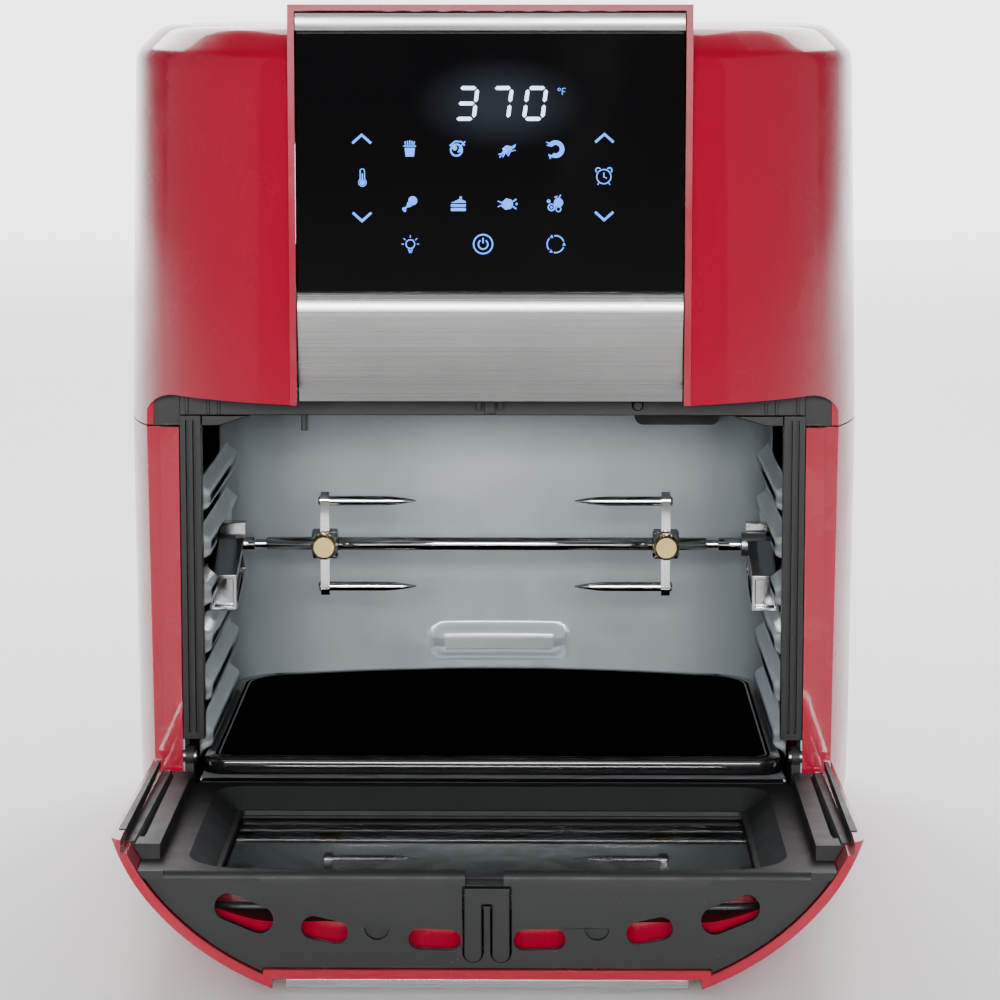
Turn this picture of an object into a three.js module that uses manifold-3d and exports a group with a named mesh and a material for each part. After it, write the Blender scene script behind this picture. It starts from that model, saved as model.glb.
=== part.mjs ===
// Countertop air fryer oven with a rotisserie: red case, touch console, drop-down door.
// Millimetres, +X to the user's right, +Y to the rear, +Z up. Everything is drawn with the
// opening's front plane at y = 0 and the table at z = 0; the last lines move the origin to the
// middle of the footprint. The door is drawn shut and turned open about its hinge.
import * as THREE from "three";
import { mergeVertices } from "three/addons/utils/BufferGeometryUtils.js";
import Module from "manifold-3d";

const wasm = await Module();
wasm.setup();

// ---- Driving dimensions ----
// Case
const CASE_WIDTH = 320;
const CASE_REAR = 268;
const CASE_TOP = 375;
const CASE_BASE = 12;
const CASE_WALL = 2.5;
const REAR_CORNER = 30;
const BOW_CENTRE = 78; // y where the straight sides end and the bowed front begins
const BOW_DEPTH = 145;
const BOW_POWER = 2.5;
const BOW_STEPS = 24;
const TOP_CHAMFER = 12;
const TOP_TAPER = 3.5; // how much narrower each side is under the top chamfer
const BASE_TAPER = 1.5;
const BASE_ROUND = 8;
const FIT_GAP = 0.3;
const SEAM_GAP = 0.6;
// Console
const CONSOLE_HALF = 79;
const CONSOLE_CHEEK = 3;
const CONSOLE_FACE = -57;
const CONSOLE_RISE = 8.5;
const CONSOLE_LENGTH = 150; // from its face back over the top
const CONSOLE_TRIM_HEIGHT = 8;
const CONSOLE_GLASS_DEPTH = 3;
const SCOOP_HEIGHT = 46;
const SCOOP_DEPTH = 12;
const SCOOP_SHEET = 1.6;
const BOARD_SETBACK = 8; // from the console's glass to the control board
const DISPLAY_HALF = 29;
const DISPLAY_LOW = 53; // below the case's top
const DISPLAY_HIGH = 30;
// Base and rear
const SKIRT_FACE = 8.5;
const VENT_PITCH = 14;
const VENT_WIDTH = 5;
const FOOT_RADIUS = 11;
const FOOT_TOE = 9;
const GLAND_X = 90;
const GLAND_Z = 42;
const GLAND_RADIUS = 7;
const GLAND_BORE = 3.6;
// Oven cavity
const CAVITY_HALF = 127.5;
const CAVITY_FLOOR = 49.7;
const CAVITY_FRONT = 9;
const CAVITY_BACK = 228;
const CAVITY_BACK_BOW = 12;
const CAVITY_CORNER = 42;
const CAVITY_SHEET = 1;
const RAIL_COUNT = 6;
const RAIL_LOWEST = 66.7;
const RAIL_HEADROOM = 38.05; // from the highest rail to the ceiling
const RAIL_HEIGHT = 9.6;
const RAIL_DEPTH = 5;
const RAIL_LENGTH = 145;
// Front frame
const POST_STEP = 3; // how far a post stands in from the cavity wall
const POST_WIDTH = 9;
const FRAME_FRONT = 0.5;
const FRAME_DEPTH = 8;
const POST_BOTTOM = 69;
const FLANGE_WIDTH = 8.5;
const REBATE_BACK = 5.5;
const TOP_BAR_HEIGHT = 9;
const LEDGE_SIDE = 30; // how far the ledge over the door runs past the console's cheeks
const PLUNGER_X = 62;
const PLUNGER_RADIUS = 2;
const PLUNGER_STROKE = 2.5;
// Door
const HINGE_Y = 4;
const HINGE_Z = 61;
const DOOR_TOP = 219.7;
const DOOR_OVER_SEAM = 14.7;
const DOOR_OVER_CAVITY = 9.7;
const DOOR_BOTTOM = 59;
const DOOR_WALL = 3.5;
const DOOR_COVER_GAP = 1;
const DOOR_CORNER = 16;
const DOOR_HALF = 149;
const DOOR_RIM = 4; // the shell's side edges close over the frame's flange
const DOOR_BACK = -1;
const DOOR_COLUMN_HALF = 84;
const DOOR_COLUMN_FACE = -50.5;
const PANEL_FACE = -7.5;
const PANEL_SHEET = 3;
const PANEL_BOTTOM = 62.3;
const WINDOW_HALF = 118;
const WINDOW_LOW = 71;
const WINDOW_HEAD = 5.7; // from the recess to the door's top
const WINDOW_DEPTH = 8;
const WINDOW_LEDGE = 11;
const PANE_SHEET = 3;
const DOOR_TRIM_HALF = 79;
const DOOR_TRIM_SHEET = 3.6;
const DOOR_LIGHT_HALF = 70;
const DOOR_LIGHT_LOW = 84;
const DOOR_LIGHT_HEAD = 33.7;
const PIN_RADIUS = 2.5;
const EAR_CLEARANCE = 1.8; // from the cavity wall's plane to a hinge ear
const EAR_WIDTH = 3.5;
const EAR_RADIUS = 4.5;
const LATCH_HALF = 9;
const LATCH_FRONT = -43;
const LATCH_BACK = -14;
// Drip tray
const TRAY_CLEARANCE = 2.5;
const TRAY_FRONT = -5;
const TRAY_BACK = 210;
const TRAY_RIM_HEIGHT = 61.3;
const TRAY_SHEET = 1.4;
const TRAY_RIM_WIDTH = 7;
const TRAY_LIP = 6.8;
// Rotisserie
const SPIT_Y = 105;
const SPIT_Z = 138.5;
const SPIT_RADIUS = 3;
const SPIT_NECK = 1.9;
const SPIT_END_GAP = 7.5; // from its free end to the cavity wall
const SPIT_IN_SOCKET = 6.4;
const SOCKET_REACH = 14.9; // from the cavity wall to the socket's mouth
const NECK_WIDTH = 5.5;
const NECK_FROM_SOCKET = 10.4;
const NECK_FROM_END = 9.6;
const SOCKET_WALL = 2.2;
const FORK_COLLAR_WALL = 3.7;
const FORK_FROM_WALL = 49.5;
const FORK_REACH = 24;
const FORK_TINE = 42;
const TINE_RADIUS = 2.2;
const HOLDER_REACH = 12.5; // how far a guide stands out from the cavity wall
const HOLDER_FRONT = 47; // from the spit's axis to the guide's front end
const HOLDER_BACK = 12;
const HOLDER_LOW = 23;
const HOLDER_HIGH = 9;
// Heater and fans
const MACHINE_Y = 115;
const GUARD_RADIUS = 86;
const SHROUD_HEIGHT = 40;
const FAN_RADIUS = 58;
const SHAFT_RADIUS = 3;
const ELEMENT_RADIUS = 3.3;
const ELEMENT_OUTER = 70;
const ELEMENT_INNER = 50;
const MOTOR_RADIUS = 30;
const MOTOR_HEIGHT = 42;
const COOLING_RADIUS = 42;
// Lamp and probe
const LAMP_FROM_WALL = 20.5;
const LAMP_WIDTH = 41;
const LAMP_HEIGHT = 27;
const LAMP_DEPTH = 14;
const LAMP_STAND_OFF = 9; // from the back wall's corner to the cover's back
const PROBE_FROM_WALL = 35.5;
const PROBE_FROM_BACK = 52;
const PROBE_LENGTH = 28;

// ---- What follows from them ----
const SEAM_HEIGHT = DOOR_TOP - DOOR_OVER_SEAM;
const SOCKET_RADIUS = SPIT_RADIUS + FIT_GAP + SOCKET_WALL;
const CAVITY_CEILING = DOOR_TOP - DOOR_OVER_CAVITY;
const WINDOW_HIGH = DOOR_TOP - WINDOW_HEAD;
const DOOR_LIGHT_HIGH = DOOR_TOP - DOOR_LIGHT_HEAD;
const POST_INNER = CAVITY_HALF - POST_STEP;
const POST_OUTER = POST_INNER + POST_WIDTH;
const FLANGE_OUTER = POST_OUTER + FLANGE_WIDTH;
const EAR_INNER = CAVITY_HALF + EAR_CLEARANCE;
const EAR_OUTER = EAR_INNER + EAR_WIDTH;
const TRAY_HALF = CAVITY_HALF - TRAY_CLEARANCE;
const SPIT_LEFT = SPIT_END_GAP - CAVITY_HALF;
const SOCKET_FACE = CAVITY_HALF - SOCKET_REACH;
const SPIT_RIGHT = SOCKET_FACE + SPIT_IN_SOCKET;
const FORK_PLACE = CAVITY_HALF - FORK_FROM_WALL;
const HOLDER_INNER = CAVITY_HALF - HOLDER_REACH;
const RAIL_PITCH = (CAVITY_CEILING - RAIL_HEADROOM - RAIL_LOWEST) / (RAIL_COUNT - 1);
const FOOT_TOP = CASE_BASE + 1 - FIT_GAP;
const REAR_COVER_HALF = CASE_WIDTH / 2 - REAR_CORNER - BASE_TAPER;
const CONSOLE_TOP = CASE_TOP + CONSOLE_RISE;
const COVER_LOW = DOOR_TOP + DOOR_COVER_GAP; // the cover's lower edge over the door
const CHEEK_HALF = CONSOLE_HALF + CONSOLE_CHEEK;
const SCOOP_LOW = COVER_LOW + FIT_GAP;
const SCOOP_TOP = SCOOP_LOW + SCOOP_HEIGHT;
const CONSOLE_ROOF = CONSOLE_TOP - CASE_WALL - FIT_GAP;
const BOARD_FRONT = CONSOLE_FACE + CONSOLE_GLASS_DEPTH + BOARD_SETBACK;
const FRAME_BACK = FRAME_FRONT + FRAME_DEPTH;
const PLUNGER_Z = CAVITY_CEILING + TOP_BAR_HEIGHT / 2;
const SILL_FRONT = HINGE_Y - (PANEL_BOTTOM - HINGE_Z) + 2 * FIT_GAP;
const SHROUD_LOW = CAVITY_CEILING + CAVITY_SHEET + FIT_GAP;
const SHROUD_TOP = SHROUD_LOW + SHROUD_HEIGHT;
const FAN_LOW = SHROUD_LOW + 17;
const MOTOR_LOW = SHROUD_TOP + 6;
const MOTOR_TOP = MOTOR_LOW + MOTOR_HEIGHT;
const LAMP_BACK = CAVITY_BACK - CAVITY_BACK_BOW - LAMP_STAND_OFF;
const TRAY_BOTTOM = CAVITY_FLOOR + FIT_GAP;
const PANEL_SKIN = DOOR_WALL + 0.4; // the inner panel's edge, in from the outside
const COLUMN_INNER = DOOR_COLUMN_FACE + DOOR_WALL;

// ---- Finishes ----
const look = (color, roughness, metalness) =>
  new THREE.MeshStandardMaterial({ color, roughness, metalness });
const RED = [0xb3122a, 0.18, 0];
const BLACK = [0x1c1d1e, 0.55, 0];
const STAINLESS = [0xa9a9a8, 0.32, 1];
const CHROME = [0xd0d0d0, 0.12, 1];
const COATED = [0x7d8890, 0.45, 0.7];
const BLACK_GLASS = [0x050506, 0.06, 0];
const CLEAR_GLASS = [0x9aa0a0, 0.05, 0];
const ENAMEL = [0x0c0c0d, 0.2, 0.3];
const BOARD = [0x1f5a37, 0.5, 0];
const RUBBER = [0x1a1a1a, 0.9, 0];
const STEEL = [0x9b9ea2, 0.4, 1];
const BRASS = [0xb49a55, 0.3, 1];

// ---- Solids ----
function solid(geometry) {
  geometry.deleteAttribute("normal");
  geometry.deleteAttribute("uv");
  const merged = mergeVertices(geometry, 1e-4);
  const vertProperties = new Float32Array(merged.getAttribute("position").array);
  const triVerts = new Uint32Array(merged.index.array);
  const made = new wasm.Manifold(new wasm.Mesh({ numProp: 3, vertProperties, triVerts }));
  if (made.volume() > 0) return made;
  for (let i = 0; i < triVerts.length; i += 3) {
    [triVerts[i + 1], triVerts[i + 2]] = [triVerts[i + 2], triVerts[i + 1]];
  }
  return new wasm.Manifold(new wasm.Mesh({ numProp: 3, vertProperties, triVerts }));
}

function surface(body) {
  const mesh = body.getMesh();
  const geometry = new THREE.BufferGeometry();
  geometry.setAttribute("position", new THREE.BufferAttribute(mesh.vertProperties, 3));
  geometry.setIndex(new THREE.BufferAttribute(mesh.triVerts, 1));
  const flat = geometry.toNonIndexed();
  flat.computeVertexNormals();
  return flat;
}

const join = (...bodies) => bodies.reduce((whole, body) => whole.add(body));

// A block between two corners; each argument is a [low, high] pair.
function block([x0, x1], [y0, y1], [z0, z1]) {
  const geometry = new THREE.BoxGeometry(x1 - x0, y1 - y0, z1 - z0);
  geometry.translate((x0 + x1) / 2, (y0 + y1) / 2, (z0 + z1) / 2);
  return solid(geometry);
}

// A prism of a plan outline (x, y) between two heights.
function upright(points, [z0, z1]) {
  const geometry = new THREE.ExtrudeGeometry(new THREE.Shape(points), {
    depth: z1 - z0,
    bevelEnabled: false,
  });
  geometry.translate(0, 0, z0);
  return solid(geometry);
}

// A prism of a front outline (x, z) between two depths.
function facing(points, [y0, y1]) {
  const geometry = new THREE.ExtrudeGeometry(new THREE.Shape(points), {
    depth: y1 - y0,
    bevelEnabled: false,
  });
  geometry.rotateX(Math.PI / 2);
  geometry.translate(0, y1, 0);
  return solid(geometry);
}

// A prism of a side outline (y, z) between two widths.
function sideways(points, [x0, x1]) {
  const geometry = new THREE.ExtrudeGeometry(new THREE.Shape(points), {
    depth: x1 - x0,
    bevelEnabled: false,
  });
  geometry.rotateY(Math.PI / 2);
  geometry.rotateX(Math.PI / 2);
  geometry.translate(x0, 0, 0);
  return solid(geometry);
}

// A turned body about the line through `place`; the profile is [radius, distance] pairs.
function turned(profile, axis, [px, py, pz], sides = 24) {
  const points = profile.map(([r, d]) => new THREE.Vector2(r, d));
  const geometry = new THREE.LatheGeometry(points, sides);
  if (axis === "x") geometry.rotateZ(-Math.PI / 2);
  if (axis === "z") geometry.rotateX(Math.PI / 2);
  geometry.translate(px, py, pz);
  return solid(geometry);
}

const rod = (radius, [from, to], axis, place, sides = 20) =>
  turned([[0, from], [radius, from], [radius, to], [0, to]], axis, place, sides);

// A ring of round section, lying flat.
function torus(radius, tube, height, sides = 36) {
  const profile = [];
  for (let i = 0; i <= 8; i++) {
    const angle = (Math.PI * i) / 4;
    profile.push([radius + tube * Math.cos(angle), tube * Math.sin(angle)]);
  }
  profile[8] = profile[0];
  return turned(profile, "z", [0, MACHINE_Y, height], sides);
}

// An arc of points about a centre, both ends included.
function arc(cx, cy, radius, from, to, steps) {
  const points = [];
  for (let i = 0; i <= steps; i++) {
    const angle = from + ((to - from) * i) / steps;
    points.push(new THREE.Vector2(cx + radius * Math.cos(angle), cy + radius * Math.sin(angle)));
  }
  return points;
}

function roundedOutline([x0, x1], [y0, y1], low, high = low, steps = 5) {
  const turn = Math.PI / 2;
  return [
    ...arc(x0 + low, y0 + low, low, 2 * turn, 3 * turn, steps),
    ...arc(x1 - low, y0 + low, low, 3 * turn, 4 * turn, steps),
    ...arc(x1 - high, y1 - high, high, 0, turn, steps),
    ...arc(x0 + high, y1 - high, high, turn, 2 * turn, steps),
  ];
}

const pair = (half) => [-half, half];
const sided = (side, near, far) => (side < 0 ? [-far, -near] : [near, far]);
const SIDES = [["left", -1], ["right", 1]];

// ---- The case's plan and its side flare ----
// How far the outside stands in from the full plan at a height.
const FLARE = [
  { z: CASE_BASE, inset: BASE_TAPER + BASE_ROUND },
  { z: CASE_BASE + 1.2 * BASE_ROUND, inset: BASE_TAPER + 0.5 * BASE_ROUND },
  { z: CASE_BASE + 4 * BASE_ROUND, inset: BASE_TAPER },
  { z: SEAM_HEIGHT, inset: 0 },
  { z: CASE_TOP - TOP_CHAMFER, inset: TOP_TAPER },
  { z: CASE_TOP, inset: TOP_TAPER + TOP_CHAMFER },
];

function insetAt(height) {
  const next = FLARE.findIndex((level) => level.z >= height);
  if (next <= 0) return next === 0 ? FLARE[0].inset : FLARE[FLARE.length - 1].inset;
  const low = FLARE[next - 1];
  const high = FLARE[next];
  const share = (height - low.z) / (high.z - low.z);
  return low.inset + (high.inset - low.inset) * share;
}

function casePlan(inset) {
  const half = CASE_WIDTH / 2 - inset;
  const corner = REAR_CORNER - inset;
  const rear = CASE_REAR - inset;
  const points = [];
  for (let i = 0; i <= BOW_STEPS; i++) {
    const angle = (Math.PI * i) / BOW_STEPS;
    const across = Math.cos(angle);
    const ahead = Math.sin(angle);
    points.push(new THREE.Vector2(
      half * Math.sign(across) * Math.abs(across) ** (2 / BOW_POWER),
      BOW_CENTRE - (BOW_DEPTH - inset) * Math.abs(ahead) ** (2 / BOW_POWER),
    ));
  }
  points.push(...arc(-half + corner, rear - corner, corner, Math.PI, Math.PI / 2, 5));
  points.push(...arc(half - corner, rear - corner, corner, Math.PI / 2, 0, 5));
  return points;
}

// The case's outer form between two heights, `skin` in from the outside.
function caseForm([z0, z1], skin) {
  const heights = [z0, ...FLARE.map((level) => level.z).filter((z) => z > z0 && z < z1), z1];
  const geometry = new THREE.ExtrudeGeometry(new THREE.Shape(casePlan(skin)), {
    depth: heights.length - 1,
    steps: heights.length - 1,
    bevelEnabled: false,
  });
  const place = geometry.getAttribute("position");
  for (let i = 0; i < place.count; i++) {
    const z = heights[Math.round(place.getZ(i))];
    const y = place.getY(i);
    const inset = insetAt(z);
    const reach = y < BOW_CENTRE ? BOW_DEPTH : CASE_REAR - BOW_CENTRE;
    place.setX(i, place.getX(i) * (1 - inset / (CASE_WIDTH / 2)));
    place.setY(i, BOW_CENTRE + (y - BOW_CENTRE) * (1 - inset / reach));
    place.setZ(i, z);
  }
  return solid(geometry);
}

// ---- Case ----
// The door's front outline, grown by `gap`; its two lower corners lie out of use.
function doorOutline(gap) {
  const across = pair(DOOR_HALF + gap);
  return roundedOutline(across, [-DOOR_CORNER, DOOR_TOP + gap], 1, DOOR_CORNER + gap);
}

// Everything ahead of y = `back` inside the door's outline.
const doorway = (gap, back) => facing(doorOutline(gap), [-BOW_DEPTH, back]);

function consoleForm(half, face, back, [z0, z1]) {
  const slope = CONSOLE_RISE * 3;
  return sideways([
    new THREE.Vector2(face, z0),
    new THREE.Vector2(back, z0),
    new THREE.Vector2(back, z1 - CONSOLE_RISE),
    new THREE.Vector2(back - slope, z1),
    new THREE.Vector2(face, z1),
  ], pair(half));
}

// A row of upright air slots through the case's rear wall.
function ventSlots(count, heights) {
  const slots = [];
  for (let i = 0; i < count; i++) {
    const x = (i - (count - 1) / 2) * VENT_PITCH;
    slots.push(block([x - VENT_WIDTH / 2, x + VENT_WIDTH / 2], [CASE_REAR - 20, CASE_REAR + 1], heights));
  }
  return join(...slots);
}

function upperCover() {
  const low = SEAM_HEIGHT + SEAM_GAP / 2;
  const consoleBack = CONSOLE_FACE + CONSOLE_LENGTH;
  const ahead = block(pair(CHEEK_HALF), [-BOW_DEPTH, CONSOLE_FACE], [low - 1, CONSOLE_TOP + 1]);
  const outside = caseForm([low, CASE_TOP], 0)
    .add(consoleForm(CHEEK_HALF, CONSOLE_FACE, consoleBack, [COVER_LOW, CONSOLE_TOP]))
    .subtract(ahead);
  const hump = consoleForm(
    CHEEK_HALF - CASE_WALL, CONSOLE_FACE + CASE_WALL, consoleBack - CASE_WALL,
    [COVER_LOW, CONSOLE_TOP - CASE_WALL],
  );
  const inside = caseForm([low - 5, CASE_TOP - CASE_WALL], CASE_WALL)
    .subtract(block(pair(CHEEK_HALF), [-BOW_DEPTH, CONSOLE_FACE + CASE_WALL], [0, CONSOLE_TOP]))
    .add(hump);
  const consoleWindow = block(
    pair(CONSOLE_HALF + FIT_GAP), [-BOW_DEPTH, CONSOLE_FACE + SCOOP_DEPTH + 8],
    [COVER_LOW - 1, CONSOLE_TOP - CASE_WALL],
  );
  const rearVents = ventSlots(9, [SEAM_HEIGHT + 60, SEAM_HEIGHT + 110]);
  return outside.subtract(inside).subtract(doorway(DOOR_COVER_GAP, REBATE_BACK)).subtract(consoleWindow)
    .subtract(rearVents);
}

function lowerSide(side) {
  const top = SEAM_HEIGHT - SEAM_GAP / 2;
  const tall = [-CASE_BASE, top + 5];
  const beside = (depth, inner) => block(sided(side, inner, CASE_WIDTH), [-BOW_DEPTH, depth], tall);
  const room = join(
    block(pair(FLANGE_OUTER - CASE_WALL), [CASE_WALL, CASE_REAR], tall),
    block(pair(CASE_WIDTH), [REBATE_BACK + CASE_WALL, CASE_REAR], tall),
  );
  const shell = caseForm([CASE_BASE, top], 0)
    .subtract(caseForm([CASE_BASE - 5, top + 5], CASE_WALL).intersect(room))
    .subtract(beside(REBATE_BACK, FLANGE_OUTER));
  const half = side < 0 ? [-CASE_WIDTH, 0] : [0, CASE_WIDTH];
  const kept = block(half, [0, CASE_REAR + 1], [0, top + 1]);
  const opening = block(pair(POST_OUTER + FIT_GAP), [-1, CASE_REAR / 2], [0, top + 1]);
  const rear = block(pair(REAR_COVER_HALF), [CASE_REAR / 2, CASE_REAR + 1], [0, top + 1]);
  const underDoor = block(pair(CASE_WIDTH), [-1, SKIRT_FACE], [0, HINGE_Z - 15]);
  const pinRelief = rod(PIN_RADIUS + 1, pair(EAR_OUTER + 4), "x", [0, HINGE_Y, HINGE_Z], 16);
  return shell.intersect(kept).subtract(opening).subtract(rear).subtract(underDoor).subtract(pinRelief);
}

function rearCover() {
  const edge = REAR_COVER_HALF - FIT_GAP;
  const low = CASE_BASE + 3;
  const plate = caseForm([low, SEAM_HEIGHT - SEAM_GAP / 2], 0)
    .subtract(caseForm([low - 5, SEAM_HEIGHT + 5], CASE_WALL))
    .intersect(block(pair(edge), [CASE_REAR / 2, CASE_REAR + 1], [0, SEAM_HEIGHT]));
  const gland = rod(GLAND_RADIUS + FIT_GAP, [CASE_REAR - 30, CASE_REAR + 5], "y", [GLAND_X, 0, GLAND_Z]);
  return plate.subtract(ventSlots(7, [SEAM_HEIGHT - 95, SEAM_HEIGHT - 40])).subtract(gland);
}

function basePan() {
  const plate = caseForm([CASE_BASE + 1, CASE_BASE + 2.5], CASE_WALL + FIT_GAP);
  const kept = block([-CASE_WIDTH, CASE_WIDTH], [SKIRT_FACE + 2.5, CASE_REAR], [0, CASE_TOP]);
  return plate.intersect(kept);
}

const foot = (x, y) => turned([
  [0, 0], [FOOT_TOE, 0], [FOOT_RADIUS, 3], [FOOT_RADIUS, FOOT_TOP], [0, FOOT_TOP],
], "z", [x, y, 0]);

function cordGland() {
  const flange = GLAND_RADIUS + 2.5;
  const profile = [
    [GLAND_BORE, -6], [GLAND_RADIUS, -6], [GLAND_RADIUS, 2], [flange, 2], [flange, 5],
    [GLAND_BORE + 2, 12], [GLAND_BORE, 12], [GLAND_BORE, -6],
  ];
  return turned(profile, "y", [GLAND_X, CASE_REAR - BASE_TAPER + 2.5, GLAND_Z]);
}

// ---- Console ----
function scoopCurve(offset) {
  const points = [];
  for (let i = 0; i <= 10; i++) {
    const fall = i / 10;
    const depth = SCOOP_DEPTH * (1 - Math.cos(fall * Math.PI * 0.62)) / 1.37;
    points.push(new THREE.Vector2(CONSOLE_FACE + offset + depth, SCOOP_TOP - SCOOP_HEIGHT * fall));
  }
  return points;
}

function consoleScoop() {
  const outline = [...scoopCurve(0), ...scoopCurve(SCOOP_SHEET).reverse()];
  return sideways(outline, pair(CONSOLE_HALF));
}

function controlGlass() {
  const high = CONSOLE_ROOF - CONSOLE_TRIM_HEIGHT;
  return block(pair(CONSOLE_HALF - 0.5), [CONSOLE_FACE, CONSOLE_FACE + CONSOLE_GLASS_DEPTH],
    [SCOOP_TOP + FIT_GAP, high - FIT_GAP]);
}

const consoleTrim = () => block(pair(CONSOLE_HALF), [CONSOLE_FACE - 0.2, CONSOLE_FACE + CONSOLE_GLASS_DEPTH],
  [CONSOLE_ROOF - CONSOLE_TRIM_HEIGHT, CONSOLE_ROOF]);

function consoleCarrier() {
  const back = CONSOLE_FACE + CONSOLE_GLASS_DEPTH + FIT_GAP;
  const plate = block(pair(CONSOLE_HALF - 2), [back, back + 2], [SCOOP_TOP + 2, CONSOLE_ROOF - 1]);
  return plate.subtract(block(pair(DISPLAY_HALF + 3), [back - 1, back + 3],
    [CASE_TOP - DISPLAY_LOW - 2, CASE_TOP - DISPLAY_HIGH + 2]));
}

const controlBoard = () => block(pair(CONSOLE_HALF - 8), [BOARD_FRONT, BOARD_FRONT + 1.6],
  [SCOOP_TOP + 8, CONSOLE_ROOF - 10]);
const displayModule = () => block(pair(DISPLAY_HALF), [BOARD_FRONT - 5.5, BOARD_FRONT - FIT_GAP],
  [CASE_TOP - DISPLAY_LOW, CASE_TOP - DISPLAY_HIGH]);

// ---- Front frame ----
function framePost(side) {
  const across = sided(side, POST_INNER, POST_OUTER);
  const post = block(across, [FRAME_FRONT, FRAME_BACK], [POST_BOTTOM, CAVITY_CEILING - FIT_GAP]);
  const width = (POST_OUTER - POST_INNER) / 3;
  const grooves = [1, 2].map((i) => {
    const x = POST_INNER + width * i;
    return block(sided(side, x - 0.5, x + 0.5), [FRAME_FRONT - 1, FRAME_FRONT + 2],
      [POST_BOTTOM + 3, CAVITY_CEILING - 15]);
  });
  return post.subtract(join(...grooves));
}

function frameTopBar() {
  const bar = block(pair(POST_OUTER), [FRAME_FRONT, FRAME_BACK],
    [CAVITY_CEILING, CAVITY_CEILING + TOP_BAR_HEIGHT]);
  const across = pair(CHEEK_HALF + LEDGE_SIDE);
  const top = COVER_LOW + 2.5;
  const ledge = block(across, [-6, FRAME_FRONT + 1], [COVER_LOW, top]);
  const web = block(across, [FRAME_FRONT, FRAME_FRONT + 2.5], [CAVITY_CEILING, top]);
  const plunger = rod(PLUNGER_RADIUS + 0.3, [-20, 20], "y", [PLUNGER_X, 0, PLUNGER_Z]);
  return join(bar, web, ledge).subtract(plunger);
}

const switchPlunger = () => rod(PLUNGER_RADIUS, [-3, FRAME_BACK + 4], "y", [PLUNGER_X, 0, PLUNGER_Z], 12);
const doorSwitch = () => block([PLUNGER_X - 8, PLUNGER_X + 8],
  [FRAME_BACK + 4 + PLUNGER_STROKE + 0.5, FRAME_BACK + 22], [PLUNGER_Z + 1 - 4.5, PLUNGER_Z + 6]);

function latchCatch() {
  const tops = [CAVITY_CEILING + 3, DOOR_TOP + DOOR_COVER_GAP - FIT_GAP];
  const base = block([-7, 5], [-6, FRAME_FRONT - FIT_GAP], [tops[1] - 3, tops[1]]);
  const prongs = [[-6.6, -4.6, 3], [-3.2, 1.2, 1.6], [2.6, 4.6, 3]].map(([x0, x1, rise]) =>
    block([x0, x1], [-6, -1], [CAVITY_CEILING + rise, tops[1] - 1]));
  return join(base, ...prongs);
}

function frameSill() {
  const bar = block(pair(CAVITY_HALF - 1), [SILL_FRONT, FRAME_BACK + 2], [CAVITY_FLOOR - 5, CAVITY_FLOOR]);
  const skirt = block(pair(CASE_WIDTH), [SKIRT_FACE, SKIRT_FACE + 2], [CASE_BASE + 3, CAVITY_FLOOR - 3])
    .intersect(caseForm([CASE_BASE + 3, CAVITY_FLOOR], CASE_WALL + FIT_GAP));
  return bar.add(skirt);
}

// ---- Cavity ----
const railHeights = Array.from({ length: RAIL_COUNT }, (_, i) => RAIL_LOWEST + RAIL_PITCH * i);

function cavitySide(side) {
  const end = CAVITY_BACK - CAVITY_BACK_BOW - CAVITY_CORNER;
  const sheet = block(sided(side, CAVITY_HALF, CAVITY_HALF + CAVITY_SHEET), [CAVITY_FRONT, end],
    [CAVITY_FLOOR, CAVITY_CEILING - FIT_GAP]);
  const rails = railHeights.map((z) => {
    const rise = RAIL_HEIGHT / 2;
    const outline = [
      [0, -rise], [-RAIL_DEPTH, -rise * 0.5], [-RAIL_DEPTH, rise * 0.5], [0, rise],
    ].map(([out, up]) => new THREE.Vector2((CAVITY_HALF + 0.5 + out) * side, z + up));
    const front = CAVITY_FRONT + 5;
    const reach = end - 4;
    return facing(side < 0 ? outline.reverse() : outline, [front, Math.min(front + RAIL_LENGTH, reach)]);
  });
  const wall = join(sheet, ...rails);
  const drive = rod(6, [CAVITY_HALF - 10, CAVITY_HALF + 10], "x", [0, SPIT_Y, SPIT_Z]);
  return (side > 0 ? wall.subtract(drive) : wall).subtract(holderRoom(side));
}

function cavityPlan(inset) {
  const half = CAVITY_HALF - inset;
  const back = CAVITY_BACK - inset;
  const corner = CAVITY_CORNER - inset;
  const shoulder = back - CAVITY_BACK_BOW;
  const flat = half - corner;
  const left = arc(-flat, shoulder - corner, corner, Math.PI, Math.PI * 0.5, 6);
  const middle = [];
  for (let i = 1; i < 8; i++) {
    const x = flat * (i / 4 - 1);
    middle.push(new THREE.Vector2(x, back - CAVITY_BACK_BOW * (x / flat) ** 2));
  }
  const right = arc(flat, shoulder - corner, corner, Math.PI * 0.5, 0, 6);
  return [...left, ...middle, ...right];
}

function cavityBack() {
  const inner = cavityPlan(0);
  const outer = cavityPlan(-CAVITY_SHEET).reverse();
  return upright([...inner, ...outer], [CAVITY_FLOOR, CAVITY_CEILING - FIT_GAP])
    .subtract(block([-CASE_WIDTH, CASE_WIDTH],
      [0, CAVITY_BACK - CAVITY_BACK_BOW - CAVITY_CORNER + FIT_GAP], [0, CASE_TOP]));
}

function cavityDeck([z0, z1]) {
  const half = CAVITY_HALF;
  const plan = [
    new THREE.Vector2(half, FRAME_BACK + FIT_GAP),
    new THREE.Vector2(-half, FRAME_BACK + FIT_GAP),
    ...cavityPlan(0),
  ];
  return upright(plan, [z0, z1]);
}

function cavityFloor() {
  return cavityDeck([CAVITY_FLOOR - CAVITY_SHEET - FIT_GAP, CAVITY_FLOOR - FIT_GAP])
    .subtract(block(pair(CASE_WIDTH), [0, FRAME_BACK + 2 + FIT_GAP], [0, CAVITY_FLOOR + 1]));
}

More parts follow.
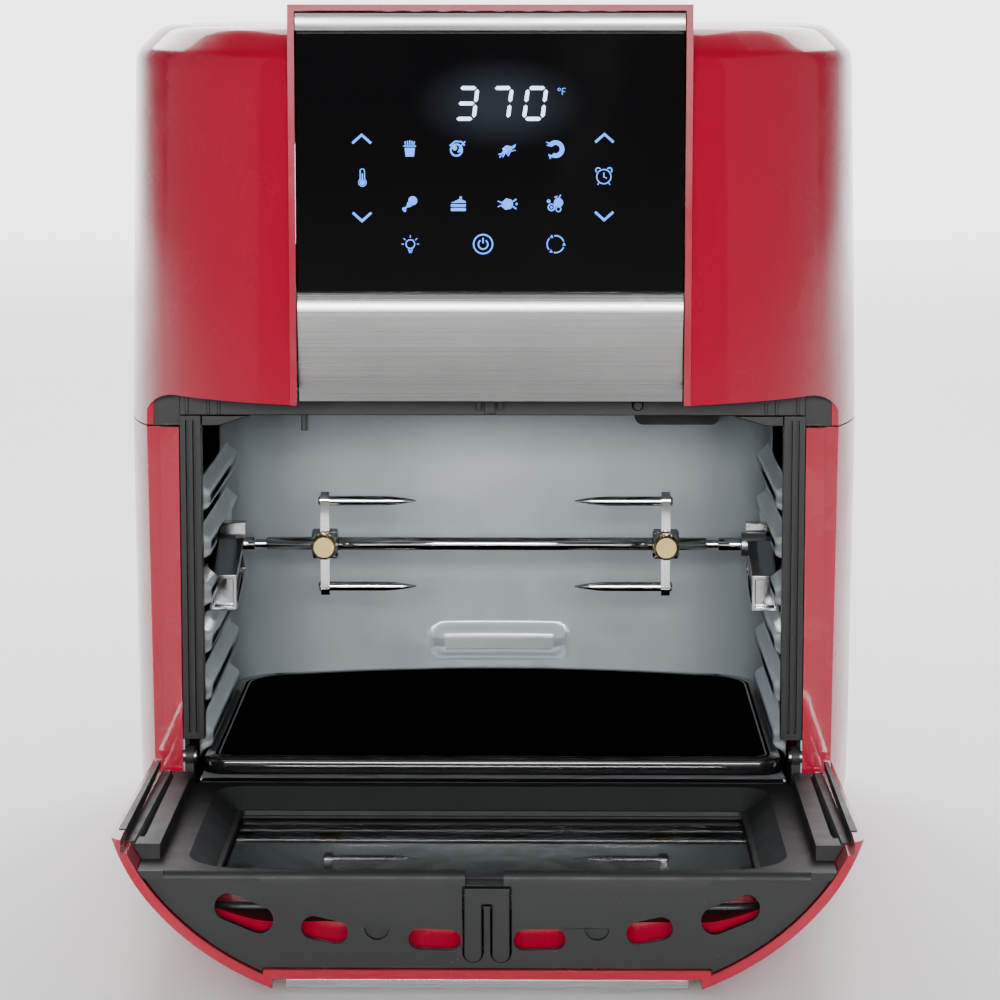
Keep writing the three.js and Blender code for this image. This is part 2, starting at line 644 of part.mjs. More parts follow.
function cavityCeiling() {
  return cavityDeck([CAVITY_CEILING, CAVITY_CEILING + CAVITY_SHEET])
    .subtract(rod(GUARD_RADIUS, [CAVITY_CEILING - 5, CAVITY_CEILING + 5], "z", [0, MACHINE_Y, 0], 48));
}

function elementGuard() {
  const shape = new THREE.Shape();
  shape.absarc(0, MACHINE_Y, GUARD_RADIUS - FIT_GAP, 0, Math.PI * 2);
  for (const [inner, outer] of [[18, 34], [40, 56], [62, 78]]) {
    for (let i = 0; i < 6; i++) {
      const from = (i * Math.PI) / 3 + 3 / outer;
      const to = ((i + 1) * Math.PI) / 3 - 3 / outer;
      shape.holes.push(new THREE.Path([
        ...arc(0, MACHINE_Y, outer, from, to, 5),
        ...arc(0, MACHINE_Y, inner, to, from, 4),
      ]));
    }
  }
  const geometry = new THREE.ExtrudeGeometry(shape, {
    depth: CAVITY_SHEET, bevelEnabled: false, curveSegments: 24,
  });
  geometry.translate(0, 0, CAVITY_CEILING);
  return solid(geometry);
}

function heaterShroud() {
  const r = GUARD_RADIUS + 3;
  return turned([
    [SHAFT_RADIUS + 2, SHROUD_TOP - 1], [r - 1, SHROUD_TOP - 1], [r - 1, SHROUD_LOW + 1],
    [r - 1, SHROUD_LOW], [r + 8, SHROUD_LOW], [r + 8, SHROUD_LOW + 1], [r, SHROUD_LOW + 1],
    [r, SHROUD_TOP], [SHAFT_RADIUS + 2, SHROUD_TOP], [SHAFT_RADIUS + 2, SHROUD_TOP - 1],
  ], "z", [0, MACHINE_Y, 0], 40);
}

function heatingElement() {
  const height = SHROUD_LOW + 9;
  const legs = [-6, 6].map((x) => rod(ELEMENT_RADIUS - 0.4, [height, SHROUD_TOP - 1.5], "z",
    [x, MACHINE_Y + ELEMENT_OUTER, 0], 8));
  const bridges = [-6, 6].map((x) => block([x - 2, x + 2],
    [MACHINE_Y + ELEMENT_INNER, MACHINE_Y + ELEMENT_OUTER], [height - 2, height + 2]));
  return join(torus(ELEMENT_OUTER, ELEMENT_RADIUS, height),
    torus(ELEMENT_INNER, ELEMENT_RADIUS, height, 28), ...legs, ...bridges);
}

function convectionFan() {
  const plate = turned([[SHAFT_RADIUS + FIT_GAP, FAN_LOW + 12], [FAN_RADIUS, FAN_LOW + 12],
    [FAN_RADIUS, FAN_LOW + 13], [SHAFT_RADIUS + FIT_GAP, FAN_LOW + 13],
    [SHAFT_RADIUS + FIT_GAP, FAN_LOW + 12]], "z", [0, MACHINE_Y, 0], 32);
  const hub = turned([[SHAFT_RADIUS + FIT_GAP, FAN_LOW], [9, FAN_LOW], [9, FAN_LOW + 12.5],
    [SHAFT_RADIUS + FIT_GAP, FAN_LOW + 12.5], [SHAFT_RADIUS + FIT_GAP, FAN_LOW]],
    "z", [0, MACHINE_Y, 0], 16);
  return join(plate, hub, ...fanBlades(10, 22, FAN_RADIUS - 1, [FAN_LOW, FAN_LOW + 12.5], 0.45));
}

function fanBlades(count, inner, outer, [z0, z1], lean) {
  return Array.from({ length: count }, (_, i) => {
    const geometry = new THREE.BoxGeometry(outer - inner, 1.2, z1 - z0);
    geometry.translate((inner + outer) / 2 - inner, 0, (z0 + z1) / 2);
    geometry.rotateZ(lean);
    geometry.translate(inner, 0, 0);
    geometry.rotateZ((i * 2 * Math.PI) / count);
    geometry.translate(0, MACHINE_Y, 0);
    return solid(geometry);
  });
}

const motorShaft = () => rod(SHAFT_RADIUS, [FAN_LOW - 2, MOTOR_TOP + 20], "z", [0, MACHINE_Y, 0], 16);

function fanMotor() {
  const bore = SHAFT_RADIUS + 0.5;
  const shoulder = MOTOR_RADIUS - 4;
  const body = turned([[bore, MOTOR_LOW], [shoulder, MOTOR_LOW], [MOTOR_RADIUS, MOTOR_LOW + 5],
    [MOTOR_RADIUS, MOTOR_TOP - 5], [shoulder, MOTOR_TOP], [bore, MOTOR_TOP], [bore, MOTOR_LOW],
  ], "z", [0, MACHINE_Y, 0], 28);
  const across = [MACHINE_Y - 9, MACHINE_Y + 9];
  const feet = [-1, 1].map((side) => join(
    block(sided(side, MOTOR_RADIUS - 3, MOTOR_RADIUS + 16), across, [MOTOR_LOW + 6, MOTOR_LOW + 8]),
    block(sided(side, MOTOR_RADIUS + 14, MOTOR_RADIUS + 16), across,
      [SHROUD_TOP + FIT_GAP, MOTOR_LOW + 8]),
  ));
  return join(body, ...feet);
}

function coolingFan() {
  const low = MOTOR_TOP + 6;
  const hub = turned([[SHAFT_RADIUS + FIT_GAP, low], [10, low], [10, low + 11],
    [SHAFT_RADIUS + FIT_GAP, low + 11], [SHAFT_RADIUS + FIT_GAP, low]], "z", [0, MACHINE_Y, 0], 16);
  return join(hub, ...fanBlades(7, 8, COOLING_RADIUS, [low, low + 10], 0.3));
}

function lampCover() {
  const right = CAVITY_HALF - LAMP_FROM_WALL;
  const left = right - LAMP_WIDTH;
  const low = CAVITY_CEILING - LAMP_HEIGHT;
  const plan = roundedOutline([left, right], [low, CAVITY_CEILING - FIT_GAP * 2], 4, 1);
  const room = block([left + 2.5, right - 2.5], [LAMP_BACK - LAMP_DEPTH + 3, LAMP_BACK + 1],
    [low + 3, CAVITY_CEILING - 4]);
  return facing(plan, [LAMP_BACK - LAMP_DEPTH, LAMP_BACK]).subtract(room);
}

function lamp() {
  const start = CAVITY_HALF - LAMP_FROM_WALL - LAMP_WIDTH + 5.5;
  return turned([[0, 0], [4, 1.2], [6, 5], [6, 20], [4.5, 23], [4.5, 29], [0, 29]], "x",
    [start, LAMP_BACK - 4.2, CAVITY_CEILING - 14], 16);
}

function thermostatProbe() {
  const place = [PROBE_FROM_WALL - CAVITY_HALF, CAVITY_BACK - PROBE_FROM_BACK, 0];
  return join(
    rod(1.8, [CAVITY_CEILING - PROBE_LENGTH, CAVITY_CEILING - 4], "z", place, 10),
    rod(4, [CAVITY_CEILING - 4.5, CAVITY_CEILING - FIT_GAP], "z", place, 12),
  );
}

const powerBoard = () => block(pair(60), [CAVITY_BACK + 9, CAVITY_BACK + 11], [60, 150]);

// ---- Drip tray ----
function trayPlan(inset) {
  const half = TRAY_HALF - inset;
  const front = TRAY_FRONT + inset;
  const back = TRAY_BACK - inset;
  const shoulder = back - 16;
  const corner = 26;
  const flat = half - corner;
  const rear = [];
  for (let i = 1; i < 8; i++) {
    const x = flat * (1 - i / 4);
    rear.push(new THREE.Vector2(x, back - 16 * (x / flat) ** 2));
  }
  return [
    ...arc(-half + 10, front + 10, 10, Math.PI, Math.PI * 1.5, 4),
    ...arc(half - 10, front + 10, 10, Math.PI * 1.5, Math.PI * 2, 4),
    ...arc(flat, shoulder - corner, corner, 0, Math.PI / 2, 5),
    ...rear,
    ...arc(-flat, shoulder - corner, corner, Math.PI / 2, Math.PI, 5),
  ];
}

function dripTray() {
  const rim = upright(trayPlan(0), [TRAY_RIM_HEIGHT - TRAY_SHEET, TRAY_RIM_HEIGHT]);
  const basin = upright(trayPlan(TRAY_RIM_WIDTH), [TRAY_BOTTOM, TRAY_RIM_HEIGHT]);
  const hollow = upright(trayPlan(TRAY_RIM_WIDTH + TRAY_SHEET),
    [TRAY_BOTTOM + TRAY_SHEET, TRAY_RIM_HEIGHT + 1]);
  const lip = block(pair(TRAY_HALF - 10), [TRAY_FRONT, TRAY_FRONT + TRAY_SHEET],
    [TRAY_RIM_HEIGHT - TRAY_LIP, TRAY_RIM_HEIGHT]);
  return join(rim, basin, lip).subtract(hollow);
}

// ---- Rotisserie ----
// Guide bracket on a cavity wall: the spit's neck rolls in from the front and drops in the notch.
function spitHolder(side) {
  const notch = SPIT_RADIUS + 0.6;
  const outline = [
    [SPIT_Y - HOLDER_FRONT, SPIT_Z - HOLDER_LOW], [SPIT_Y - HOLDER_FRONT + 14, SPIT_Z - HOLDER_LOW],
    [SPIT_Y + HOLDER_BACK, SPIT_Z - 10], [SPIT_Y + HOLDER_BACK, SPIT_Z + HOLDER_HIGH],
    [SPIT_Y + notch, SPIT_Z + HOLDER_HIGH],
  ].map(([y, z]) => new THREE.Vector2(y, z));
  outline.push(...arc(SPIT_Y, SPIT_Z, notch, 0, -Math.PI, 8));
  outline.push(new THREE.Vector2(SPIT_Y - notch, SPIT_Z + 3));
  outline.push(new THREE.Vector2(SPIT_Y - HOLDER_FRONT, SPIT_Z - 7));
  const form = sideways(outline, sided(side, HOLDER_INNER, CAVITY_HALF - FIT_GAP));
  const socket = rod(SOCKET_RADIUS + 0.6, [SOCKET_FACE - 5, CAVITY_HALF + 5], "x", [0, SPIT_Y, SPIT_Z]);
  return side > 0 ? form.subtract(socket) : form;
}

// The room that a holder takes on the cavity wall.
const holderRoom = (side) => block(sided(side, HOLDER_INNER - 1, CAVITY_HALF),
  [SPIT_Y - HOLDER_FRONT - FIT_GAP, SPIT_Y + HOLDER_BACK + FIT_GAP],
  [SPIT_Z - HOLDER_LOW - FIT_GAP, SPIT_Z + HOLDER_HIGH + FIT_GAP]);

function spitShaft() {
  const neckLeft = [SPIT_LEFT + NECK_FROM_END, SPIT_LEFT + NECK_FROM_END + NECK_WIDTH];
  const neckRight = [SOCKET_FACE - NECK_FROM_SOCKET - NECK_WIDTH, SOCKET_FACE - NECK_FROM_SOCKET];
  return turned([
    [0, SPIT_LEFT], [SPIT_RADIUS, SPIT_LEFT], [SPIT_RADIUS, neckLeft[0]], [SPIT_NECK, neckLeft[0]],
    [SPIT_NECK, neckLeft[1]], [SPIT_RADIUS, neckLeft[1]], [SPIT_RADIUS, neckRight[0]],
    [SPIT_NECK, neckRight[0]], [SPIT_NECK, neckRight[1]], [SPIT_RADIUS, neckRight[1]],
    [SPIT_RADIUS, SPIT_RIGHT], [0, SPIT_RIGHT],
  ], "x", [0, SPIT_Y, SPIT_Z], 16);
}

function driveSocket() {
  const bore = SPIT_RADIUS + FIT_GAP;
  const end = CAVITY_HALF + CAVITY_SHEET + 1;
  const shoulder = CAVITY_HALF - 3.5;
  return turned([
    [bore, SOCKET_FACE], [SOCKET_RADIUS, SOCKET_FACE], [SOCKET_RADIUS, shoulder], [3.5, shoulder], [3.5, end],
    [0, end], [0, SPIT_RIGHT + 1], [bore, SPIT_RIGHT + 1], [bore, SOCKET_FACE],
  ], "x", [0, SPIT_Y, SPIT_Z], 20);
}

function rotisserieMotor() {
  const face = CAVITY_HALF + CAVITY_SHEET + 1 + FIT_GAP;
  const gearcase = block([face, face + 17], [SPIT_Y - 22, SPIT_Y + 22], [SPIT_Z - 22, SPIT_Z + 22]);
  const lugs = [-1, 1].map((way) => block([face, face + 2], [SPIT_Y - 5, SPIT_Y + 5],
    way < 0 ? [SPIT_Z - 29, SPIT_Z - 21] : [SPIT_Z + 21, SPIT_Z + 29]));
  return join(gearcase, ...lugs);
}

function fork(side) {
  const x = FORK_PLACE;
  const collar = rod(SPIT_RADIUS + FIT_GAP + FORK_COLLAR_WALL, [x - 6, x + 6], "x", [0, 0, 0]);
  const bar = block([x - 2.5, x + 2.5], [-4, 4], [-FORK_REACH, FORK_REACH]);
  const tines = [-1, 1].map((way) => turned([
    [0, x - FORK_TINE], [TINE_RADIUS - 1, x - FORK_TINE + 6], [TINE_RADIUS, x - FORK_TINE + 12],
    [TINE_RADIUS, x + 2], [0, x + 2],
  ], "x", [0, 0, way * (FORK_REACH - 3)], 10));
  const bore = rod(SPIT_RADIUS + FIT_GAP, [x - 20, x + 20], "x", [0, 0, 0], 20);
  const screwHole = rod(2 + FIT_GAP, [0, 12], "y", [x, -12, 0], 12);
  const body = join(collar, bar, ...tines).subtract(bore).subtract(screwHole);
  return placed(body, side);
}

function forkScrew(side) {
  const x = FORK_PLACE;
  const head = SPIT_RADIUS + FIT_GAP + FORK_COLLAR_WALL + 1;
  const body = turned([
    [0, -SPIT_RADIUS - 0.4], [2, -SPIT_RADIUS - 0.4], [2, -head], [6, -head], [6, -head - 3],
    [4.5, -head - 5], [0, -head - 5],
  ], "y", [x, 0, 0], 12);
  return placed(body, side);
}

// Puts a body drawn on the right of the spit, about its axis, in its place on either side.
function placed(body, side) {
  const geometry = surface(body);
  if (side < 0) geometry.rotateZ(Math.PI);
  if (side < 0) geometry.rotateX(Math.PI);
  geometry.translate(0, SPIT_Y, SPIT_Z);
  return solid(geometry);
}

// ---- Door, drawn shut ----
function doorShell() {
  const form = (skin, [z0, z1]) => caseForm([z0, z1], skin);
  const column = block(pair(DOOR_COLUMN_HALF), [-BOW_DEPTH, DOOR_COLUMN_FACE], [0, CASE_TOP]);
  const insideFlange = block(pair(FLANGE_OUTER + DOOR_COVER_GAP), [DOOR_BACK, REBATE_BACK], [0, CASE_TOP]);
  const outside = form(0, [DOOR_BOTTOM, DOOR_TOP]).intersect(doorway(0, DOOR_RIM)).subtract(column)
    .subtract(insideFlange);
  const columnRoom = block(pair(DOOR_COLUMN_HALF + DOOR_WALL), [-BOW_DEPTH, COLUMN_INNER], [0, CASE_TOP]);
  const inside = form(DOOR_WALL, [DOOR_BOTTOM + PANEL_SHEET, DOOR_TOP + 2])
    .intersect(facing(doorOutlineInner(), [-BOW_DEPTH, REBATE_BACK])).subtract(columnRoom);
  const window = facing(roundedOutline(pair(DOOR_LIGHT_HALF), [DOOR_LIGHT_LOW, DOOR_LIGHT_HIGH], 6),
    [-BOW_DEPTH, COLUMN_INNER + 1]);
  const heel = block(pair(CASE_WIDTH), [PANEL_FACE - 13, REBATE_BACK], [0, PANEL_BOTTOM + 6]);
  return outside.subtract(inside).subtract(window).subtract(heel);
}

const doorOutlineInner = () => roundedOutline(pair(DOOR_HALF - DOOR_WALL),
  [-DOOR_CORNER, DOOR_TOP + 3], 1, DOOR_CORNER);

function windowOutline(grow) {
  return roundedOutline(pair(WINDOW_HALF + grow), [WINDOW_LOW - grow, WINDOW_HIGH + grow],
    12 + grow, 24 + grow, 6);
}

function doorInnerPanel() {
  const reach = caseForm([PANEL_BOTTOM, DOOR_TOP - FIT_GAP], PANEL_SKIN)
    .intersect(facing(doorPanelOutline(), [-BOW_DEPTH, DOOR_BACK]))
    .subtract(block(pair(DOOR_COLUMN_HALF + PANEL_SKIN), [-BOW_DEPTH, COLUMN_INNER + FIT_GAP],
      [0, CASE_TOP]));
  const back = block(pair(CASE_WIDTH), [PANEL_FACE - PANEL_SHEET, PANEL_FACE], [0, CASE_TOP]);
  const roof = block(pair(CASE_WIDTH), [-BOW_DEPTH, PANEL_FACE],
    [DOOR_TOP - PANEL_SHEET, DOOR_TOP]);
  const wings = SIDES.map(([, side]) => block(sided(side, EAR_INNER, CASE_WIDTH / 2),
    [PANEL_FACE - PANEL_SHEET, DOOR_BACK], [POST_BOTTOM, DOOR_TOP - DOOR_CORNER - 4]));
  const ledge = PANEL_FACE - WINDOW_DEPTH;
  const tub = facing(windowOutline(2), [ledge - 2, PANEL_FACE - PANEL_SHEET + 0.5]);
  const body = join(back, roof, ...wings).intersect(reach).add(tub);
  const recess = facing(windowOutline(0), [ledge, PANEL_FACE + 10]);
  const light = facing(windowOutline(-WINDOW_LEDGE), [ledge - 5, ledge + 1]);
  const ears = SIDES.map(([, side]) => hingeEar(side));
  const pins = rod(PIN_RADIUS + FIT_GAP, [-CASE_WIDTH, CASE_WIDTH], "x", [0, HINGE_Y, HINGE_Z], 16);
  const toes = SIDES.map(([, side]) => block(sided(side, EAR_OUTER, CASE_WIDTH / 2),
    [-BOW_DEPTH, REBATE_BACK], [0, HINGE_Z + HINGE_Y + DOOR_COVER_GAP]));
  return join(body.subtract(recess).subtract(light).subtract(join(...toes)), ...ears)
    .subtract(pins).subtract(roofCuts()).subtract(catchNotch());
}

const doorPanelOutline = () => roundedOutline(pair(DOOR_HALF - PANEL_SKIN),
  [-DOOR_CORNER, DOOR_TOP + 3], 1, DOOR_CORNER);

function hingeEar(side) {
  const across = sided(side, EAR_INNER, EAR_OUTER);
  const eye = rod(EAR_RADIUS, across, "x", [0, HINGE_Y, HINGE_Z], 16);
  const arm = block(across, [PANEL_FACE - PANEL_SHEET, HINGE_Y], [HINGE_Z - EAR_RADIUS + 0.6, HINGE_Z + 3.5]);
  const root = block(across, [PANEL_FACE - PANEL_SHEET, PANEL_FACE + 2], [HINGE_Z, POST_BOTTOM + 4]);
  return join(eye, arm, root);
}

// Air slots in the door's top, following its bow.
function roofCuts() {
  const slots = [[20.5, -35.3, 20.5, 8.5, 0], [63.5, -31.5, 18.5, 9, 0.16], [95, -25, 23, 11, 0.38]];
  const cuts = [];
  for (const [, side] of SIDES) {
    for (const [x, y, length, width, lean] of slots) {
      cuts.push(slotCut(x * side, y, length, width, lean * side));
    }
    cuts.push(slotCut(43 * side, -33, 10, 5, 0));
  }
  const latch = block(pair(LATCH_HALF + FIT_GAP), [LATCH_FRONT - FIT_GAP, LATCH_BACK + FIT_GAP],
    [DOOR_TOP - 6, DOOR_TOP + 5]);
  return join(latch, ...cuts);
}

function slotCut(x, y, length, width, lean) {
  const outline = roundedOutline(pair(length / 2), pair(width / 2), width / 2 - 0.05, width / 2 - 0.05, 4);
  const geometry = new THREE.ExtrudeGeometry(new THREE.Shape(outline), { depth: 12, bevelEnabled: false });
  geometry.rotateZ(lean);
  geometry.translate(x, y, DOOR_TOP - 6);
  return solid(geometry);
}

function doorLatch() {
  const plate = block(pair(LATCH_HALF), [LATCH_FRONT, LATCH_BACK],
    [DOOR_TOP - PANEL_SHEET - 1, DOOR_TOP + DOOR_COVER_GAP / 2]);
  return plate.subtract(block([-2.2, 2.2], [LATCH_FRONT - 1, LATCH_BACK - 7], [0, CASE_TOP]));
}

const catchNotch = () => block([-8.5, 6.5], [LATCH_BACK + 1, 5], [CAVITY_CEILING - 1, CASE_TOP]);

function innerPane() {
  const back = PANEL_FACE - WINDOW_DEPTH - 2 - 1.2 - 2 * FIT_GAP;
  return facing(windowOutline(-4), [back - PANE_SHEET, back]);
}

function paneGasket() {
  const back = PANEL_FACE - WINDOW_DEPTH - 2 - FIT_GAP;
  return facing(windowOutline(-4), [back - 1.2, back])
    .subtract(facing(windowOutline(-WINDOW_LEDGE), [back - 3, back + 1]));
}

const outerPane = () => facing(
  roundedOutline(pair(DOOR_LIGHT_HALF - FIT_GAP), [DOOR_LIGHT_LOW + FIT_GAP, DOOR_LIGHT_HIGH - FIT_GAP], 6),
  [DOOR_COLUMN_FACE, DOOR_COLUMN_FACE + PANE_SHEET],
);

function doorTrim() {
  const front = DOOR_COLUMN_FACE - FIT_GAP - DOOR_TRIM_SHEET;
  const plate = facing(roundedOutline(pair(DOOR_TRIM_HALF), [DOOR_BOTTOM + 2, DOOR_TOP - 1], 1),
    [front, DOOR_COLUMN_FACE - FIT_GAP]);
  return plate.subtract(facing(
    roundedOutline(pair(DOOR_LIGHT_HALF - 2), [DOOR_LIGHT_LOW + 2, DOOR_LIGHT_HIGH - 2], 5),
    [front - 1, DOOR_COLUMN_FACE + 1],
  ));
}

const hingePin = (side) => rod(PIN_RADIUS, sided(side, EAR_INNER - 1.2, EAR_OUTER + 3), "x",
  [0, HINGE_Y, HINGE_Z], 16);

function hingeBracket(side) {
  const near = EAR_OUTER + FIT_GAP;
  const plate = block(sided(side, near, near + 1.8), [CASE_WALL + 0.5, 24], [HINGE_Z - 12, HINGE_Z + 7.5]);
  const foot = block(sided(side, near, near + 9), [22, 24], [HINGE_Z - 12, HINGE_Z + 7.5]);
  return join(plate, foot)
    .subtract(rod(PIN_RADIUS + FIT_GAP, pair(CASE_WIDTH), "x", [0, HINGE_Y, HINGE_Z], 16));
}

// ---- Assembly ----
const oven = new THREE.Group();
const door = new THREE.Group();

function piece(name, body, [color, roughness, metalness], parent = oven) {
  const mesh = new THREE.Mesh(surface(body), look(color, roughness, metalness));
  mesh.name = name;
  parent.add(mesh);
}

piece("upper_cover", upperCover(), RED);
for (const [word, side] of SIDES) piece(`lower_side_${word}`, lowerSide(side), RED);
piece("rear_cover", rearCover(), BLACK);
piece("base_pan", basePan(), STEEL);
for (const [word, side] of SIDES) {
  piece(`foot_front_${word}`, foot(side * 112, 42), RUBBER);
  piece(`foot_rear_${word}`, foot(side * 112, CASE_REAR - 48), RUBBER);
}
piece("cord_gland", cordGland(), BLACK);
piece("control_glass", controlGlass(), BLACK_GLASS);
piece("console_trim", consoleTrim(), STAINLESS);
piece("console_scoop", consoleScoop(), STAINLESS);
piece("console_carrier", consoleCarrier(), BLACK);
piece("control_board", controlBoard(), BOARD);
piece("display_module", displayModule(), BLACK);
for (const [word, side] of SIDES) piece(`frame_post_${word}`, framePost(side), BLACK);
piece("frame_top_bar", frameTopBar(), BLACK);
piece("frame_sill", frameSill(), BLACK);
piece("latch_catch", latchCatch(), BLACK);
piece("door_switch", doorSwitch(), BLACK);
piece("switch_plunger", switchPlunger(), BLACK);
for (const [word, side] of SIDES) piece(`cavity_${word}_wall`, cavitySide(side), COATED);
piece("cavity_back_wall", cavityBack(), COATED);
piece("cavity_floor", cavityFloor(), COATED);
piece("cavity_ceiling", cavityCeiling(), COATED);
piece("element_guard", elementGuard(), COATED);
piece("heater_shroud", heaterShroud(), STEEL);
piece("heating_element", heatingElement(), STEEL);
piece("convection_fan", convectionFan(), STEEL);
piece("motor_shaft", motorShaft(), STEEL);
piece("fan_motor", fanMotor(), STEEL);
piece("cooling_fan", coolingFan(), BLACK);
piece("lamp_cover", lampCover(), BLACK);
piece("lamp", lamp(), CLEAR_GLASS);
piece("thermostat_probe", thermostatProbe(), STEEL);
piece("power_board", powerBoard(), BOARD);
piece("drip_tray", dripTray(), ENAMEL);
for (const [word, side] of SIDES) piece(`spit_holder_${word}`, spitHolder(side), STAINLESS);
piece("spit_shaft", spitShaft(), CHROME);
piece("drive_socket", driveSocket(), STEEL);
piece("rotisserie_motor", rotisserieMotor(), BLACK);
for (const [word, side] of SIDES) {
  piece(`fork_${word}`, fork(side), CHROME);
  piece(`fork_screw_${word}`, forkScrew(side), BRASS);
}
piece("door_shell", doorShell(), RED, door);
piece("door_inner_panel", doorInnerPanel(), BLACK, door);
piece("door_latch", doorLatch(), BLACK, door);
piece("inner_pane", innerPane(), CLEAR_GLASS, door);
piece("pane_gasket", paneGasket(), RUBBER, door);
piece("outer_pane", outerPane(), BLACK_GLASS, door);
piece("door_trim", doorTrim(), STAINLESS, door);
for (const [word, side] of SIDES) {
  piece(`hinge_pin_${word}`, hingePin(side), STEEL, door);
  piece(`hinge_bracket_${word}`, hingeBracket(side), STEEL);
}

// The door hangs open, a quarter turn forward about its hinge.
for (const mesh of door.children) mesh.position.set(0, -HINGE_Y, -HINGE_Z);
door.position.set(0, HINGE_Y, HINGE_Z);
door.rotation.x = Math.PI / 2;
oven.add(door);

const model = new THREE.Group();
model.add(oven);
model.updateMatrixWorld(true);
const box = new THREE.Box3().setFromObject(oven, true);
oven.position.set(-(box.min.x + box.max.x) / 2, -(box.min.y + box.max.y) / 2, -box.min.z);

export default model;
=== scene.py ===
"""Countertop air fryer oven with a rotisserie: its looks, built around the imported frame."""

import math

import bmesh
import bpy
from bpy.props import FloatProperty, FloatVectorProperty, IntProperty, PointerProperty
from mathutils import Matrix, Vector


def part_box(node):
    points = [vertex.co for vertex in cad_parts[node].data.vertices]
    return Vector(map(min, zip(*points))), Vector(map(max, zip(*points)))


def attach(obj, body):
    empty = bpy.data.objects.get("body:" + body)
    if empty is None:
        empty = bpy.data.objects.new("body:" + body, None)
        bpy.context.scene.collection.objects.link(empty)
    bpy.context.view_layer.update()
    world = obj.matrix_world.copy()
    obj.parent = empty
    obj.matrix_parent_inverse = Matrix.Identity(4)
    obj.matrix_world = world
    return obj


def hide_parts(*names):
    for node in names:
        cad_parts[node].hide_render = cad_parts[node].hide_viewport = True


bl_info = {
    "name": "Air Fryer Oven",
    "version": (1, 0, 0),
    "blender": (4, 5, 0),
    "location": "3D View > Sidebar > Air Fryer",
    "description": "Builds a countertop air fryer oven with a drop-down door and a rotisserie",
    "category": "Object",
}

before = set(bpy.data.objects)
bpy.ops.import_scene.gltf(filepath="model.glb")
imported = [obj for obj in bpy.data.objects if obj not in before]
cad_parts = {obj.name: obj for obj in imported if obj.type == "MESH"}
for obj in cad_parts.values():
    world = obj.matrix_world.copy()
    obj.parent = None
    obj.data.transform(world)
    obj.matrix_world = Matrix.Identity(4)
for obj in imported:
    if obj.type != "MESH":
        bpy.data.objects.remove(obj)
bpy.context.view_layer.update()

# Shapes are drawn in millimetres from the opening's front plane, the middle and the table.
MM = 0.001
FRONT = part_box("frame_post_left")[0].y - 0.5 * MM


def at(x, y, z):
    return Vector((x * MM, FRONT + y * MM, z * MM))


def span(node, axis):
    """A CAD node's extent along x, y or z, in millimetres."""
    index = "xyz".index(axis)
    start = at(0, 0, 0)[index]
    return tuple((corner[index] - start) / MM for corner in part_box(node))


# ---- Measures taken from the frame ----
CASE_HALF = span("upper_cover", "x")[1]
CASE_REAR = span("upper_cover", "y")[1]
CASE_BASE = span("lower_side_left", "z")[0]
CONSOLE_TOP = span("upper_cover", "z")[1]
SEAM = span("upper_cover", "z")[0] - 0.3
CONSOLE_HALF = span("console_scoop", "x")[1]
GLASS_LOW, GLASS_HIGH = span("control_glass", "z")
GLASS_FACE = span("control_glass", "y")[0]
SCOOP_LOW, SCOOP_TOP = span("console_scoop", "z")
COVER_LOW = SCOOP_LOW - 0.3
POST_INNER, POST_OUTER = span("frame_post_right", "x")
CAVITY_HALF = POST_INNER + 3
CEILING = span("cavity_ceiling", "z")[0]
LINER_LOW, LINER_HIGH = span("cavity_left_wall", "z")
LINER_FRONT, CORNER_START = span("cavity_left_wall", "y")
CAVITY_BACK = span("cavity_back_wall", "y")[1] - 1
TRAY_HALF = span("drip_tray", "x")[1]
TRAY_FRONT, TRAY_BACK = span("drip_tray", "y")
TRAY_BOTTOM, TRAY_RIM = span("drip_tray", "z")
SPIT_LEFT, SPIT_RIGHT = span("spit_shaft", "x")
SPIT_RADIUS = (span("spit_shaft", "z")[1] - span("spit_shaft", "z")[0]) / 2
SPIT_Y = sum(span("spit_shaft", "y")) / 2
SPIT_Z = sum(span("spit_shaft", "z")) / 2
SOCKET_FACE = span("drive_socket", "x")[0]
HINGE_Y = sum(span("hinge_pin_left", "y")) / 2
HINGE_Z = sum(span("hinge_pin_left", "z")) / 2
DOOR_TOP = HINGE_Z + HINGE_Y - span("door_shell", "y")[0]

# ---- Shape values ----
WALL = 2.5
CASE_TOP = CONSOLE_TOP - 8.5
REAR_CORNER = 30
BOW_CENTRE = 78
BOW_DEPTH = 145
BOW_STEPS = 96
GAP = 0.3
FLARE = (
    (12, 9.5), (14, 8.2), (18, 6.6), (24, 5.0), (33, 3.3), (44, 1.7), (60, 1.3), (205, 0),
    (357, 3.35), (361, 3.7), (363.5, 4.6), (365.6, 6.2), (370.6, 11.2), (372.7, 13.5),
    (374.2, 16.2), (374.9, 19.4), (375, 23),
)
CHEEK_HALF = CONSOLE_HALF + 3
FLANGE_OUTER = 142
REBATE_BACK = 5.5
DOOR_HALF = 149
DOOR_CORNER = 16
DOOR_WALL = 3.5
DOOR_BOTTOM = 59
DOOR_BACK = -1
DOOR_RIM = 4
COLUMN_HALF = 84
COLUMN_FACE = -50.5
PANEL_FACE = -7.5
PANEL_SHEET = 3
PANEL_SKIN = DOOR_WALL + 0.4
PANEL_BOTTOM = 62.3
WINDOW_HALF = 118
WINDOW_LOW = 71
WINDOW_HIGH = DOOR_TOP - 5.7
WINDOW_DEPTH = 8
EAR_INNER, EAR_OUTER = CAVITY_HALF + 1.8, CAVITY_HALF + 5.3
RAIL_HEIGHTS = tuple(66.7 + 21.05 * i for i in range(6))
SIDES = (("left", -1), ("right", 1))


